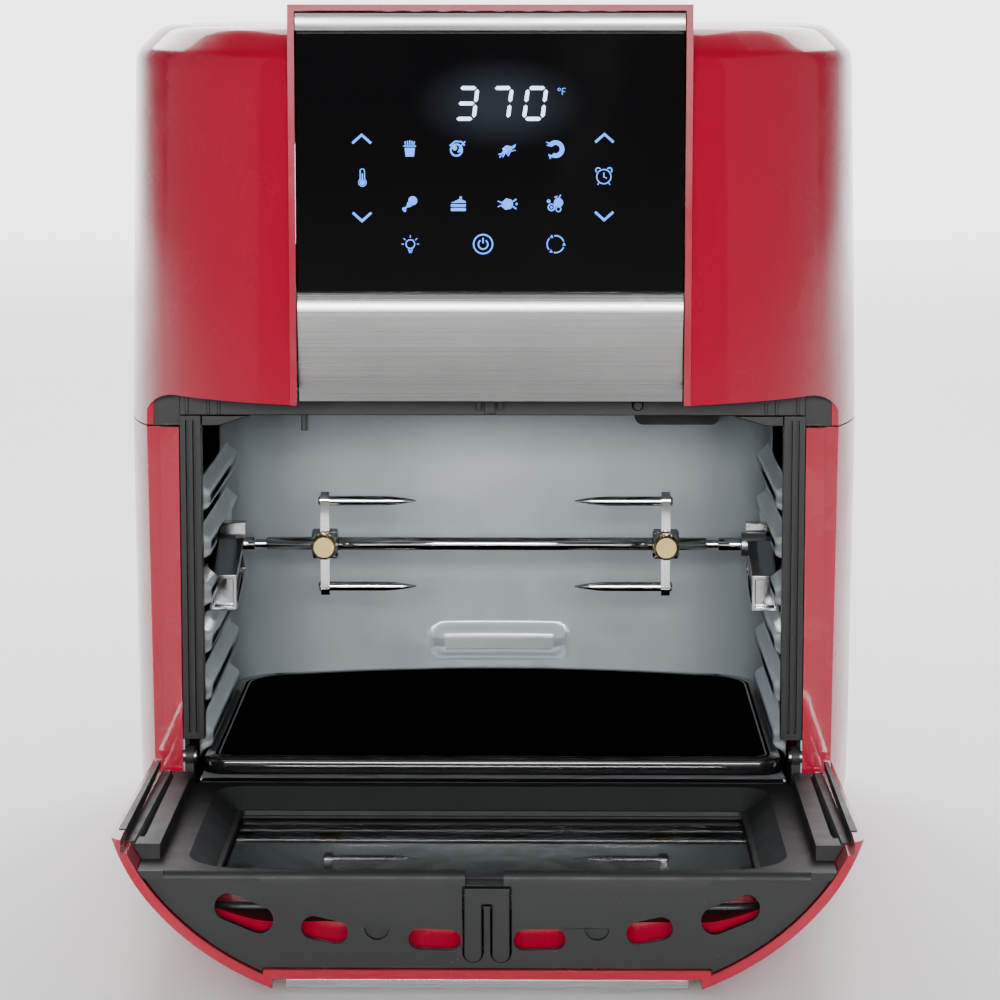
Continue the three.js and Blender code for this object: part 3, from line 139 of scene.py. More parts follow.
class AirFryerSizes(bpy.types.PropertyGroup):
    """Sizes of the finish that a maker would change."""

    case_edge: FloatProperty(name="Case Edge", description="Radius on the red case's edges", default=0.0008, unit="LENGTH")
    moulded_edge: FloatProperty(name="Moulded Edge", description="Radius on black plastic edges", default=0.0006, unit="LENGTH")
    metal_edge: FloatProperty(name="Metal Edge", description="Radius on metal edges", default=0.0004, unit="LENGTH")
    rail_depth: FloatProperty(name="Rail Depth", description="How far the shelf rails stand into the cavity", default=0.005, unit="LENGTH")
    rail_height: FloatProperty(name="Rail Height", description="Height of a pressed shelf rail", default=0.0125, unit="LENGTH")
    hump_depth: FloatProperty(name="Hump Depth", description="How far the back wall's pressed hump stands out", default=0.006, unit="LENGTH")
    tray_step: FloatProperty(name="Tray Step", description="Width of the ledge inside the drip tray", default=0.005, unit="LENGTH")
    symbol_stroke: FloatProperty(name="Symbol Stroke", description="Line width of the lit symbols", default=0.0006, unit="LENGTH")
    bevel_segments: IntProperty(name="Edge Segments", description="Segments in each rounded edge", default=3, min=1, max=6)


class AirFryerColours(bpy.types.PropertyGroup):
    """Colours of the finishes."""

    red: FloatVectorProperty(name="Red", description="Gloss red of the case", subtype="COLOR", size=3, default=(0.34, 0.0, 0.022), min=0, max=1)
    black: FloatVectorProperty(name="Black Plastic", description="Moulded black of the frame and door panel", subtype="COLOR", size=3, default=(0.017, 0.018, 0.0185), min=0, max=1)
    # Painted shade: this stainless is kept about 0.6 times as bright as the door trim's, so the console's band and
    # scoop read darker.
    stainless: FloatVectorProperty(name="Stainless", description="Brushed stainless of the console and door trim", subtype="COLOR", size=3, default=(0.36, 0.355, 0.35), min=0, max=1)
    liner: FloatVectorProperty(name="Liner", description="Coated steel of the cavity", subtype="COLOR", size=3, default=(0.68, 0.74, 0.78), min=0, max=1)
    enamel: FloatVectorProperty(name="Enamel", description="Black enamel of the drip tray", subtype="COLOR", size=3, default=(0.006, 0.006, 0.0065), min=0, max=1)
    symbols: FloatVectorProperty(name="Symbols", description="Light of the touch symbols", subtype="COLOR", size=3, default=(0.005, 0.21, 1.0), min=0, max=1)
    digits: FloatVectorProperty(name="Digits", description="Light of the display's digits", subtype="COLOR", size=3, default=(0.55, 0.70, 1.0), min=0, max=1)
    floor: FloatVectorProperty(name="Floor", description="Pale studio floor", subtype="COLOR", size=3, default=(0.90, 0.90, 0.90), min=0, max=1)


# ---- Node helpers ----
def add(tree, kind, settings=None, **inputs):
    """Adds a node. An input given as a socket is linked, any other value is set."""
    made = tree.nodes.new("ShaderNode" + kind)
    for key, value in (settings or {}).items():
        setattr(made, key, value)
    for key, value in inputs.items():
        socket = made.inputs[int(key[1:])] if key[1:].isdigit() else made.inputs[key.replace("_", " ")]
        if isinstance(value, bpy.types.NodeSocket):
            tree.links.new(value, socket)
        else:
            socket.default_value = value
    return made


def sum_of(tree, operation, a, b):
    return add(tree, "Math", {"operation": operation}, i0=a, i1=b).outputs[0]


def ranged(tree, value, low, high, to_low, to_high):
    made = add(tree, "MapRange", {"interpolation_type": "SMOOTHSTEP"}, Value=value)
    for key, number in (("From Min", low), ("From Max", high), ("To Min", to_low), ("To Max", to_high)):
        if isinstance(number, bpy.types.NodeSocket):
            tree.links.new(number, made.inputs[key])
        else:
            made.inputs[key].default_value = number
    return made.outputs[0]


def mixed(tree, factor, a, b):
    made = add(tree, "Mix", {"data_type": "RGBA"}, i0=factor, i6=a, i7=b)
    return made.outputs[2]


def new_group(name, inputs, outputs):
    """A shader node group with its sockets; returns the tree and its two ends."""
    tree = bpy.data.node_groups.new(name, "ShaderNodeTree")
    kinds = {"v": "NodeSocketVector", "c": "NodeSocketColor", "f": "NodeSocketFloat"}
    for label, kind, value in inputs:
        socket = tree.interface.new_socket(label, in_out="INPUT", socket_type=kinds[kind])
        if value is not None:
            socket.default_value = value
    for label, kind in outputs:
        tree.interface.new_socket(label, in_out="OUTPUT", socket_type=kinds[kind])
    start = tree.nodes.new("NodeGroupInput").outputs
    end = tree.nodes.new("NodeGroupOutput").inputs
    return tree, start, end


def tone_drift_group():
    """Slow drift of a finish's tone and gloss over the surface."""
    tree, start, end = new_group(
        "Tone Drift",
        [("Vector", "v", None), ("Colour", "c", (0.5, 0.5, 0.5, 1)), ("Scale", "f", 12.0), ("Drift", "f", 0.06),
         ("Roughness", "f", 0.4), ("Spread", "f", 0.05)],
        [("Colour", "c"), ("Roughness", "f")])
    slow = add(tree, "TexNoise", None, Vector=start["Vector"], Scale=start["Scale"], Detail=4.0).outputs["Fac"]
    quick = add(tree, "TexNoise", None, Vector=start["Vector"], Scale=sum_of(tree, "MULTIPLY", start["Scale"], 7.3), Detail=5.0).outputs["Fac"]
    value = ranged(tree, slow, 0.3, 0.7, sum_of(tree, "SUBTRACT", 1.0, start["Drift"]), sum_of(tree, "ADD", 1.0, start["Drift"]))
    tinted = add(tree, "HueSaturation", None, Value=value, Color=start["Colour"]).outputs[0]
    gloss = ranged(tree, quick, 0.3, 0.7, sum_of(tree, "SUBTRACT", start["Roughness"], start["Spread"]), sum_of(tree, "ADD", start["Roughness"], start["Spread"]))
    tree.links.new(tinted, end["Colour"])
    tree.links.new(gloss, end["Roughness"])
    return tree


def fine_relief_group():
    """Fine surface relief: cloudy like sprayed lacquer, or pebbled like a moulded grain."""
    tree, start, end = new_group(
        "Fine Relief",
        [("Vector", "v", None), ("Scale", "f", 500.0), ("Pebble", "f", 0.0), ("Strength", "f", 0.1), ("Depth", "f", 0.0002)],
        [("Normal", "v"), ("Mask", "f")])
    cloud = add(tree, "TexNoise", None, Vector=start["Vector"], Scale=start["Scale"], Detail=2.0).outputs["Fac"]
    pebble = add(tree, "TexVoronoi", {"feature": "SMOOTH_F1"}, Vector=start["Vector"], Scale=start["Scale"]).outputs["Distance"]
    height = add(tree, "Mix", None, Factor=start["Pebble"], i2=cloud, i3=pebble).outputs[0]
    bump = add(tree, "Bump", None, Strength=start["Strength"], Distance=start["Depth"], Height=height)
    tree.links.new(bump.outputs[0], end["Normal"])
    tree.links.new(height, end["Mask"])
    return tree


def brushed_group():
    """Long fine lines left by brushing; Stretch is the number of lines per metre along each axis."""
    tree, start, end = new_group(
        "Brushed Lines",
        [("Vector", "v", None), ("Stretch", "v", (4, 2500, 2500)), ("Colour", "c", (0.5, 0.5, 0.5, 1)),
         ("Roughness", "f", 0.3), ("Spread", "f", 0.08), ("Strength", "f", 0.1)],
        [("Colour", "c"), ("Roughness", "f"), ("Normal", "v")])
    drawn = add(tree, "VectorMath", {"operation": "MULTIPLY"}, i0=start["Vector"], i1=start["Stretch"]).outputs[0]
    lines = add(tree, "TexNoise", None, Vector=drawn, Scale=1.0, Detail=5.0, Roughness=0.65).outputs["Fac"]
    cloud = add(tree, "TexNoise", None, Vector=start["Vector"], Scale=18.0, Detail=3.0).outputs["Fac"]
    value = ranged(tree, lines, 0.25, 0.75, 0.86, 1.12)
    shade = sum_of(tree, "MULTIPLY", value, ranged(tree, cloud, 0.3, 0.7, 0.96, 1.03))
    tinted = add(tree, "HueSaturation", None, Value=shade, Color=start["Colour"]).outputs[0]
    gloss = ranged(tree, lines, 0.3, 0.7, sum_of(tree, "SUBTRACT", start["Roughness"], start["Spread"]), sum_of(tree, "ADD", start["Roughness"], start["Spread"]))
    bump = add(tree, "Bump", None, Strength=start["Strength"], Distance=0.00004, Height=lines)
    tree.links.new(tinted, end["Colour"])
    tree.links.new(gloss, end["Roughness"])
    tree.links.new(bump.outputs[0], end["Normal"])
    return tree


def flecks_group():
    """Small flecks and dust scattered over a finish."""
    tree, start, end = new_group(
        "Flecks",
        [("Vector", "v", None), ("Colour", "c", (0.5, 0.5, 0.5, 1)), ("Fleck", "c", (0.8, 0.8, 0.8, 1)), ("Scale", "f", 300.0), ("Amount", "f", 0.2)],
        [("Colour", "c"), ("Mask", "f")])
    cells = add(tree, "TexVoronoi", None, Vector=start["Vector"], Scale=start["Scale"]).outputs
    near = ranged(tree, cells["Distance"], 0.10, 0.22, 1.0, 0.0)
    chosen = add(tree, "SeparateColor", None, Color=cells["Color"]).outputs[0]
    rare = sum_of(tree, "LESS_THAN", chosen, start["Amount"])
    patch = add(tree, "TexNoise", None, Vector=start["Vector"], Scale=15.0, Detail=3.0).outputs["Fac"]
    mask = sum_of(tree, "MULTIPLY", sum_of(tree, "MULTIPLY", near, rare), ranged(tree, patch, 0.4, 0.65, 0.15, 1.0))
    soft = sum_of(tree, "MULTIPLY", mask, 0.6)
    tree.links.new(mixed(tree, soft, start["Colour"], start["Fleck"]), end["Colour"])
    tree.links.new(mask, end["Mask"])
    return tree


def handling_group():
    """Faint wiped smears and hairlines that lift the roughness of a polished face."""
    tree, start, end = new_group(
        "Handling Marks",
        [("Vector", "v", None), ("Scale", "f", 20.0), ("Roughness", "f", 0.05), ("Amount", "f", 0.06)],
        [("Roughness", "f"), ("Mask", "f")])
    wiped = add(tree, "VectorMath", {"operation": "MULTIPLY"}, i0=start["Vector"], i1=(1.0, 1.0, 0.35)).outputs[0]
    smear = add(tree, "TexNoise", None, Vector=wiped, Scale=start["Scale"], Detail=6.0, Distortion=1.2).outputs["Fac"]
    mask = ranged(tree, smear, 0.48, 0.75, 0.0, 1.0)
    lifted = sum_of(tree, "ADD", start["Roughness"], sum_of(tree, "MULTIPLY", mask, start["Amount"]))
    tree.links.new(lifted, end["Roughness"])
    tree.links.new(mask, end["Mask"])
    return tree


def leaning_group():
    """A face's normal leaned a little along the object's own y, as a pane set slightly out of level has."""
    tree, start, end = new_group("Leaning Normal", [("Lean", "f", 0.07)], [("Normal", "v")])
    facing = add(tree, "NewGeometry").outputs["Normal"]
    along = add(tree, "CombineXYZ", None, Y=start["Lean"]).outputs[0]
    turned_over = add(tree, "VectorTransform", {"vector_type": "VECTOR", "convert_from": "OBJECT", "convert_to": "WORLD"}, Vector=along).outputs[0]
    leaned = add(tree, "VectorMath", {"operation": "ADD"}, i0=facing, i1=turned_over).outputs[0]
    tree.links.new(add(tree, "VectorMath", {"operation": "NORMALIZE"}, i0=leaned).outputs[0], end["Normal"])
    return tree


GROUP_MAKERS = {
    "Tone Drift": tone_drift_group,
    "Fine Relief": fine_relief_group,
    "Brushed Lines": brushed_group,
    "Flecks": flecks_group,
    "Handling Marks": handling_group,
    "Leaning Normal": leaning_group,
}


def effect(tree, name, **inputs):
    """Places a shared effect, which is built on its first use."""
    made = tree.nodes.new("ShaderNodeGroup")
    made.node_tree = bpy.data.node_groups.get(name) or GROUP_MAKERS[name]()
    for key, value in inputs.items():
        if isinstance(value, bpy.types.NodeSocket):
            tree.links.new(value, made.inputs[key])
        else:
            made.inputs[key].default_value = value
    return made.outputs


def new_look(name, **sockets):
    """A material with its shader; the constants are set on the shader's own sockets."""
    look = bpy.data.materials.new(name)
    look.use_nodes = True
    tree = look.node_tree
    shader = tree.nodes["Principled BSDF"]
    for key, value in sockets.items():
        shader.inputs[key.replace("_", " ")].default_value = value
    place = add(tree, "TexCoord").outputs["Object"]
    return look, tree, shader, place


def opaque(colour):
    return (*colour[:3], 1.0)


def lacquered(name, colour, flake=0.0):
    look, tree, shader, place = new_look(name, IOR=1.45, Specular_IOR_Level=0.3, Coat_Weight=0.6, Coat_Roughness=0.03, Coat_IOR=1.45)
    drift = effect(tree, "Tone Drift", Vector=place, Colour=opaque(colour), Scale=6.0, Drift=0.035, Roughness=0.24, Spread=0.05)
    dust = effect(tree, "Flecks", Vector=place, Colour=drift["Colour"], Fleck=(0.48, 0.01, 0.04, 1), Scale=420.0, Amount=0.05 + flake)
    relief = effect(tree, "Fine Relief", Vector=place, Scale=420.0, Pebble=0.0, Strength=0.045, Depth=0.0002)
    marks = effect(tree, "Handling Marks", Vector=place, Scale=9.0, Roughness=drift["Roughness"], Amount=0.05)
    for source, socket in ((dust["Colour"], "Base Color"), (marks["Roughness"], "Roughness"), (relief["Normal"], "Normal")):
        tree.links.new(source, shader.inputs[socket])
    tree.links.new(relief["Normal"], shader.inputs["Coat Normal"])
    return look


def moulded(name, colour, roughness, grain=900.0, strength=0.25, drift=0.08, dust=0.03):
    look, tree, shader, place = new_look(name, IOR=1.48, Specular_IOR_Level=0.3)
    tone = effect(tree, "Tone Drift", Vector=place, Colour=opaque(colour), Scale=10.0, Drift=drift, Roughness=roughness, Spread=0.05)
    specks = effect(tree, "Flecks", Vector=place, Colour=tone["Colour"], Fleck=(0.10, 0.10, 0.10, 1), Scale=520.0, Amount=dust)
    relief = effect(tree, "Fine Relief", Vector=place, Scale=grain, Pebble=0.7, Strength=strength, Depth=0.00015)
    for source, socket in ((specks["Colour"], "Base Color"), (tone["Roughness"], "Roughness"), (relief["Normal"], "Normal")):
        tree.links.new(source, shader.inputs[socket])
    return look


def brushed(name, colour, stretch, roughness=0.3, anisotropic=0.5, strength=0.18):
    look, tree, shader, place = new_look(name, Metallic=1.0, Anisotropic=anisotropic)
    lines = effect(tree, "Brushed Lines", Vector=place, Stretch=stretch, Colour=opaque(colour), Roughness=roughness, Spread=0.07, Strength=strength)
    marks = effect(tree, "Handling Marks", Vector=place, Scale=25.0, Roughness=lines["Roughness"], Amount=0.05)
    for source, socket in ((lines["Colour"], "Base Color"), (marks["Roughness"], "Roughness"), (lines["Normal"], "Normal")):
        tree.links.new(source, shader.inputs[socket])
    return look


def plated(name, colour, roughness=0.08, metallic=1.0):
    look, tree, shader, place = new_look(name, Metallic=metallic)
    tone = effect(tree, "Tone Drift", Vector=place, Colour=opaque(colour), Scale=30.0, Drift=0.05, Roughness=roughness, Spread=roughness * 0.4)
    marks = effect(tree, "Handling Marks", Vector=place, Scale=60.0, Roughness=tone["Roughness"], Amount=0.12)
    relief = effect(tree, "Fine Relief", Vector=place, Scale=700.0, Pebble=0.2, Strength=0.05, Depth=0.0001)
    for source, socket in ((tone["Colour"], "Base Color"), (marks["Roughness"], "Roughness"), (relief["Normal"], "Normal")):
        tree.links.new(source, shader.inputs[socket])
    return look


def coated(name, colour, roughness, metallic, fleck, scale=700.0, coat=0.0, strength=0.12):
    look, tree, shader, place = new_look(name, Metallic=metallic, IOR=1.5, Coat_Weight=coat, Coat_Roughness=0.12)
    tone = effect(tree, "Tone Drift", Vector=place, Colour=opaque(colour), Scale=9.0, Drift=0.07, Roughness=roughness, Spread=0.05)
    specks = effect(tree, "Flecks", Vector=place, Colour=tone["Colour"], Fleck=fleck, Scale=scale, Amount=0.35)
    marks = effect(tree, "Handling Marks", Vector=place, Scale=14.0, Roughness=tone["Roughness"], Amount=0.03)
    relief = effect(tree, "Fine Relief", Vector=place, Scale=scale, Pebble=0.3, Strength=strength, Depth=0.00012)
    for source, socket in ((specks["Colour"], "Base Color"), (marks["Roughness"], "Roughness"), (relief["Normal"], "Normal")):
        tree.links.new(source, shader.inputs[socket])
    return look


def glazed(name, colour, transmission, roughness=0.02, lean=0.0):
    look, tree, shader, place = new_look(name, IOR=1.5, Transmission_Weight=transmission)
    tone = effect(tree, "Tone Drift", Vector=place, Colour=opaque(colour), Scale=5.0, Drift=0.03, Roughness=roughness, Spread=0.005)
    marks = effect(tree, "Handling Marks", Vector=place, Scale=11.0, Roughness=tone["Roughness"], Amount=0.05)
    tree.links.new(tone["Colour"], shader.inputs["Base Color"])
    tree.links.new(marks["Roughness"], shader.inputs["Roughness"])
    if lean:
        tree.links.new(effect(tree, "Leaning Normal", Lean=lean)["Normal"], shader.inputs["Normal"])
    return look


def console_glass_look(name, glow):
    """Black glass with a painted glow round the display: the faint halo that the lit digits leave round them is given
    off by the glass itself.
    """
    look, tree, shader, place = new_look(name, IOR=1.5, Specular_IOR_Level=0.3, Emission_Strength=1.0)
    tone = effect(tree, "Tone Drift", Vector=place, Colour=(0.0025, 0.0025, 0.003, 1), Scale=5.0, Drift=0.1, Roughness=0.03, Spread=0.008)
    marks = effect(tree, "Handling Marks", Vector=place, Scale=9.0, Roughness=tone["Roughness"], Amount=0.05)
    # Painted glow: the glass gives off the digits' light, strongest at the display's middle and fading out round it.
    middle = at(DISPLAY_X, GLASS_FACE, DISPLAY_Z)
    moved = add(tree, "VectorMath", {"operation": "SUBTRACT"}, i0=place, i1=tuple(middle)).outputs[0]
    shaped = add(tree, "VectorMath", {"operation": "MULTIPLY"}, i0=moved, i1=(26.0, 0.0, 48.0)).outputs[0]
    far = add(tree, "VectorMath", {"operation": "LENGTH"}, i0=shaped).outputs["Value"]
    halo = ranged(tree, far, 0.1, 1.0, 0.05, 0.0)
    tree.links.new(mixed(tree, halo, (0, 0, 0, 1), opaque(glow)), shader.inputs["Emission Color"])
    tree.links.new(tone["Colour"], shader.inputs["Base Color"])
    tree.links.new(marks["Roughness"], shader.inputs["Roughness"])
    return look


def lit(name, colour, strength):
    look, tree, shader, place = new_look(name, Roughness=0.4, Emission_Strength=strength)
    tone = effect(tree, "Tone Drift", Vector=place, Colour=opaque(colour), Scale=160.0, Drift=0.12, Roughness=0.4, Spread=0.05)
    tree.links.new(tone["Colour"], shader.inputs["Base Color"])
    tree.links.new(tone["Colour"], shader.inputs["Emission Color"])
    return look


def look_of(name):
    """The named finish, made on its first use."""
    found = bpy.data.materials.get(name)
    if found:
        return found
    colours = bpy.context.scene.air_fryer_colours
    makers = {
        "Red Gloss": lambda: lacquered(name, colours.red),
        "Red Door Gloss": lambda: lacquered(name, colours.red, flake=0.03),
        "Black Moulding": lambda: moulded(name, colours.black, 0.42),
        "Black Frame": lambda: moulded(name, [c * 0.5 for c in colours.black], 0.40, grain=1100.0, strength=0.2),
        "Black Panel": lambda: moulded(name, [c * 1.0 for c in colours.black], 0.5, grain=1400.0, strength=0.3, dust=0.015),
        "Rubber": lambda: moulded(name, (0.018, 0.018, 0.018), 0.75, grain=600.0, strength=0.4),
        # Painted shade and light: one brushed stainless in two copies, the console's painted darker and the door trim's
        # 1.7 times lighter.
        "Console Stainless Painted Shade": lambda: brushed(name, colours.stainless, (5, 2600, 2600)),
        "Door Stainless Painted Light": lambda: brushed(name, [c * 1.7 for c in colours.stainless], (5, 2600, 2600), roughness=0.25),
        "Galvanised Steel": lambda: coated(name, (0.42, 0.43, 0.44), 0.42, 0.9, (0.7, 0.72, 0.74, 1), scale=160.0),
        "Bare Steel": lambda: brushed(name, (0.40, 0.40, 0.40), (900, 900, 60), roughness=0.35, anisotropic=0.2),
        "Element Steel": lambda: coated(name, (0.10, 0.085, 0.075), 0.5, 0.8, (0.2, 0.15, 0.12, 1), scale=500.0),
        "Chrome": lambda: plated(name, (0.78, 0.78, 0.79), 0.07),
        "Dark Chrome": lambda: plated(name, (0.36, 0.36, 0.37), 0.12),
        "Brass": lambda: plated(name, (0.62, 0.46, 0.20), 0.2),
        "Liner Coating": lambda: coated(name, colours.liner, 0.34, 0.25, (0.62, 0.66, 0.70, 1), scale=900.0, coat=0.15),
        "Black Enamel": lambda: coated(name, colours.enamel, 0.14, 0.0, (0.05, 0.05, 0.055, 1), scale=520.0, coat=1.0, strength=0.05),
        "Console Glass": lambda: console_glass_look(name, colours.digits),
        "Dark Glass": lambda: glazed(name, (0.10, 0.10, 0.105), 0.55),
        "Door Pane": lambda: glazed(name, (0.80, 0.83, 0.83), 1.0, roughness=0.03, lean=-0.08),
        "Lamp Glass": lambda: glazed(name, (0.95, 0.93, 0.86), 0.8, roughness=0.12),
        "Board Lacquer": lambda: coated(name, (0.02, 0.12, 0.05), 0.35, 0.0, (0.45, 0.42, 0.2, 1), scale=240.0),
        "Symbol Light": lambda: lit(name, colours.symbols, 1.0),
        "Digit Light": lambda: lit(name, colours.digits, 2.2),
    }
    return makers[name]()


# ---- Solid helpers ----
def arc(cx, cy, radius, start, end, steps):
    return [(cx + radius * math.cos(start + (end - start) * i / steps), cy + radius * math.sin(start + (end - start) * i / steps))
            for i in range(steps + 1)]


def rounded_outline(across, up, low, high=None, steps=8):
    high = low if high is None else high
    (x0, x1), (y0, y1), turn = across, up, math.pi / 2
    return (arc(x0 + low, y0 + low, low, 2 * turn, 3 * turn, steps) + arc(x1 - low, y0 + low, low, 3 * turn, 4 * turn, steps)
            + arc(x1 - high, y1 - high, high, 0, turn, steps) + arc(x0 + high, y1 - high, high, turn, 2 * turn, steps))


def pair(half):
    return (-half, half)


def sided(side, near, far):
    return (-far, -near) if side < 0 else (near, far)


def to_object(name, bm):
    mesh = bpy.data.meshes.new(name)
    bmesh.ops.recalc_face_normals(bm, faces=bm.faces)
    bm.to_mesh(mesh)
    bm.free()
    made = bpy.data.objects.new(name, mesh)
    bpy.context.scene.collection.objects.link(made)
    return made


def block(x, y, z, name="block"):
    bm = bmesh.new()
    bmesh.ops.create_cube(bm, size=1)
    size = Vector((x[1] - x[0], y[1] - y[0], z[1] - z[0])) * MM
    bmesh.ops.scale(bm, vec=size, verts=bm.verts)
    bmesh.ops.translate(bm, vec=at(sum(x) / 2, sum(y) / 2, sum(z) / 2), verts=bm.verts)
    return to_object(name, bm)


def prism(outline, axis, reach, name="prism"):
    """An outline across an axis, drawn along it: x takes (y, z), y takes (x, z), z takes (x, y)."""
    spots = {"x": lambda p, d: at(d, p[0], p[1]), "y": lambda p, d: at(p[0], d, p[1]), "z": lambda p, d: at(p[0], p[1], d)}[axis]
    bm = bmesh.new()
    face = bm.faces.new([bm.verts.new(spots(p, reach[0])) for p in outline])
    drawn = bmesh.ops.extrude_face_region(bm, geom=[face])["geom"]
    move = spots((0, 0), reach[1]) - spots((0, 0), reach[0])
    bmesh.ops.translate(bm, vec=move, verts=[g for g in drawn if isinstance(g, bmesh.types.BMVert)])
    return to_object(name, bm)


def loft(rings, name="loft", caps=True):
    """Rings of points in millimetres, each joined to the next and closed at both ends."""
    bm = bmesh.new()
    loops = []
    for points in rings:
        verts = [bm.verts.new(at(*p)) for p in points]
        loops.append([bm.edges.new((verts[i - 1], verts[i])) for i in range(len(verts))])
    for low, high in zip(loops, loops[1:]):
        bmesh.ops.bridge_loops(bm, edges=low + high)
    if caps:
        for end in (loops[0], loops[-1]):
            bmesh.ops.contextual_create(bm, geom=end)
    return to_object(name, bm)


def turned(profile, axis, place, steps=48, name="turned"):
    """Radius and distance pairs spun about a line through place."""
    bm = bmesh.new()
    verts = [bm.verts.new(Vector((r * MM, 0, d * MM))) for r, d in profile]
    edges = [bm.edges.new(ends) for ends in zip(verts, verts[1:])]
    bmesh.ops.spin(bm, geom=verts + edges, cent=(0, 0, 0), axis=(0, 0, 1), angle=2 * math.pi, steps=steps, use_merge=True)
    bmesh.ops.remove_doubles(bm, verts=bm.verts, dist=1e-6)
    turn = {"x": Matrix.Rotation(math.pi / 2, 4, "Y"), "y": Matrix.Rotation(-math.pi / 2, 4, "X"), "z": Matrix.Identity(4)}[axis]
    bmesh.ops.transform(bm, matrix=Matrix.Translation(at(*place)) @ turn, verts=bm.verts)
    return to_object(name, bm)


def rod(radius, reach, axis, place, steps=40, name="rod"):
    return turned([(0, reach[0]), (radius, reach[0]), (radius, reach[1]), (0, reach[1])], axis, place, steps, name)


def discard(*objects):
    for one in objects:
        mesh = one.data
        bpy.data.objects.remove(one)
        bpy.data.meshes.remove(mesh)


def combine(body, operation, *others):
    """Joins, cuts or keeps the common part of closed solids, one after another."""
    for other in others:
        step = body.modifiers.new("combine", "BOOLEAN")
        step.operation = operation
        step.solver = "MANIFOLD"
        step.object = other
        bpy.context.view_layer.update()
        mesh = bpy.data.meshes.new_from_object(body.evaluated_get(bpy.context.evaluated_depsgraph_get()))
        old = body.data
        body.modifiers.clear()
        body.data = mesh
        bpy.data.meshes.remove(old)
        discard(other)
    return body


def cut(body, *others):
    return combine(body, "DIFFERENCE", *others)


def join(body, *others):
    return combine(body, "UNION", *others)


def common(body, *others):
    return combine(body, "INTERSECT", *others)


def settle(made):
    """Merges doubled points and melts flat faces together, so that edges take a clean radius."""
    bm = bmesh.new()
    bm.from_mesh(made.data)
    bmesh.ops.triangulate(bm, faces=bm.faces)
    bmesh.ops.remove_doubles(bm, verts=bm.verts, dist=1e-6)
    bmesh.ops.dissolve_limit(bm, angle_limit=math.radians(0.6), verts=bm.verts, edges=bm.edges)
    bmesh.ops.dissolve_degenerate(bm, edges=bm.edges, dist=1e-6)
    doubled = [face for face in bm.faces if all(len(edge.link_faces) > 2 for edge in face.edges)]
    bmesh.ops.delete(bm, geom=doubled, context="FACES_ONLY")
    bmesh.ops.holes_fill(bm, edges=[edge for edge in bm.edges if edge.is_boundary], sides=0)
    bmesh.ops.recalc_face_normals(bm, faces=bm.faces)
    bm.to_mesh(made.data)
    bm.free()


def finish(made, name, look, body, nodes=(), edge=None, door=False, clean=True, crease=32):
    """Rounds a piece's edges, gives it its finish and hangs it on its body."""
    sizes = bpy.context.scene.air_fryer_sizes
    made.name = made.data.name = name
    if clean:
        settle(made)
    if door:
        hinge = at(0, HINGE_Y, HINGE_Z)
        made.data.transform(Matrix.Translation(hinge) @ Matrix.Rotation(math.pi / 2, 4, "X") @ Matrix.Translation(-hinge))
    for polygon in made.data.polygons:
        polygon.use_smooth = True
    made.data.set_sharp_from_angle(angle=math.radians(crease))
    if edge:
        rounding = made.modifiers.new("Rounded Edges", "BEVEL")
        rounding.width = edge
        rounding.segments = sizes.bevel_segments
        rounding.limit_method = "ANGLE"
        rounding.angle_limit = math.radians(crease)
        rounding.harden_normals = True
        rounding.miter_outer = "MITER_ARC"
    made.data.materials.clear()
    made.data.materials.append(look_of(look))
    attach(made, body)
    if nodes:
        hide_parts(*nodes)
    return made


def refined(node, name, look, body, edge=None, crease=32):
    """A copy of a CAD node's mesh with its loose triangles merged and its edges rounded."""
    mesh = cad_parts[node].data.copy()
    made = bpy.data.objects.new(name, mesh)
    bpy.context.scene.collection.objects.link(made)
    return finish(made, name, look, body, (node,), edge, crease=crease)


def carried(node, look):
    """A CAD node that stays as it is, with a real finish."""
    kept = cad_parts[node]
    kept.data.materials.clear()
    kept.data.materials.append(look_of(look))


# ---- The case's form ----
def inset_at(height):
    for (z0, i0), (z1, i1) in zip(FLARE, FLARE[1:]):
        if z0 <= height <= z1:
            return i0 + (i1 - i0) * (height - z0) / (z1 - z0)
    return FLARE[0][1] if height < FLARE[0][0] else FLARE[-1][1]


def case_plan(skin):
    half, corner, rear = CASE_HALF - skin, REAR_CORNER - skin, CASE_REAR - skin
    points = []
    for i in range(BOW_STEPS + 1):
        across, ahead = math.cos(math.pi * i / BOW_STEPS), math.sin(math.pi * i / BOW_STEPS)
        points.append((half * math.copysign(abs(across) ** 0.8, across), BOW_CENTRE - (BOW_DEPTH - skin) * abs(ahead) ** 0.8))
    points += arc(-half + corner, rear - corner, corner, math.pi, math.pi / 2, 12)
    points += arc(half - corner, rear - corner, corner, math.pi / 2, 0, 12)
    return points


def case_form(low, high, skin):
    """The case's outer form between two heights, skin in from the outside."""
    heights = [low] + [z for z, _ in FLARE if low < z < high] + [high]
    plan = case_plan(skin)
    rings = []
    for z in heights:
        inset = inset_at(z)
        rings.append([(x * (1 - inset / CASE_HALF),
                       BOW_CENTRE + (y - BOW_CENTRE) * (1 - inset / (BOW_DEPTH if y < BOW_CENTRE else CASE_REAR - BOW_CENTRE)), z)
                      for x, y in plan])
    return loft(rings, "case_form")


def door_outline(gap):
    return rounded_outline(pair(DOOR_HALF + gap), (-DOOR_CORNER, DOOR_TOP + gap), 1, DOOR_CORNER + gap, 12)


def doorway(gap, back):
    return prism(door_outline(gap), "y", (-BOW_DEPTH, back))


def console_form(half, face, back, low, high):
    return prism([(face, low), (back, low), (back, high - 8.5), (back - 9, high - 4.6), (back - 25.5, high - 0.4), (back - 34, high), (face, high)],
                 "x", pair(half), "console_form")


def vent_slots(count, low, high):
    slots = [prism(rounded_outline((x - 2.5, x + 2.5), (low, high), 2.45), "y", (CASE_REAR - 20, CASE_REAR + 1))
             for x in ((i - (count - 1) / 2) * 14 for i in range(count))]
    return slots


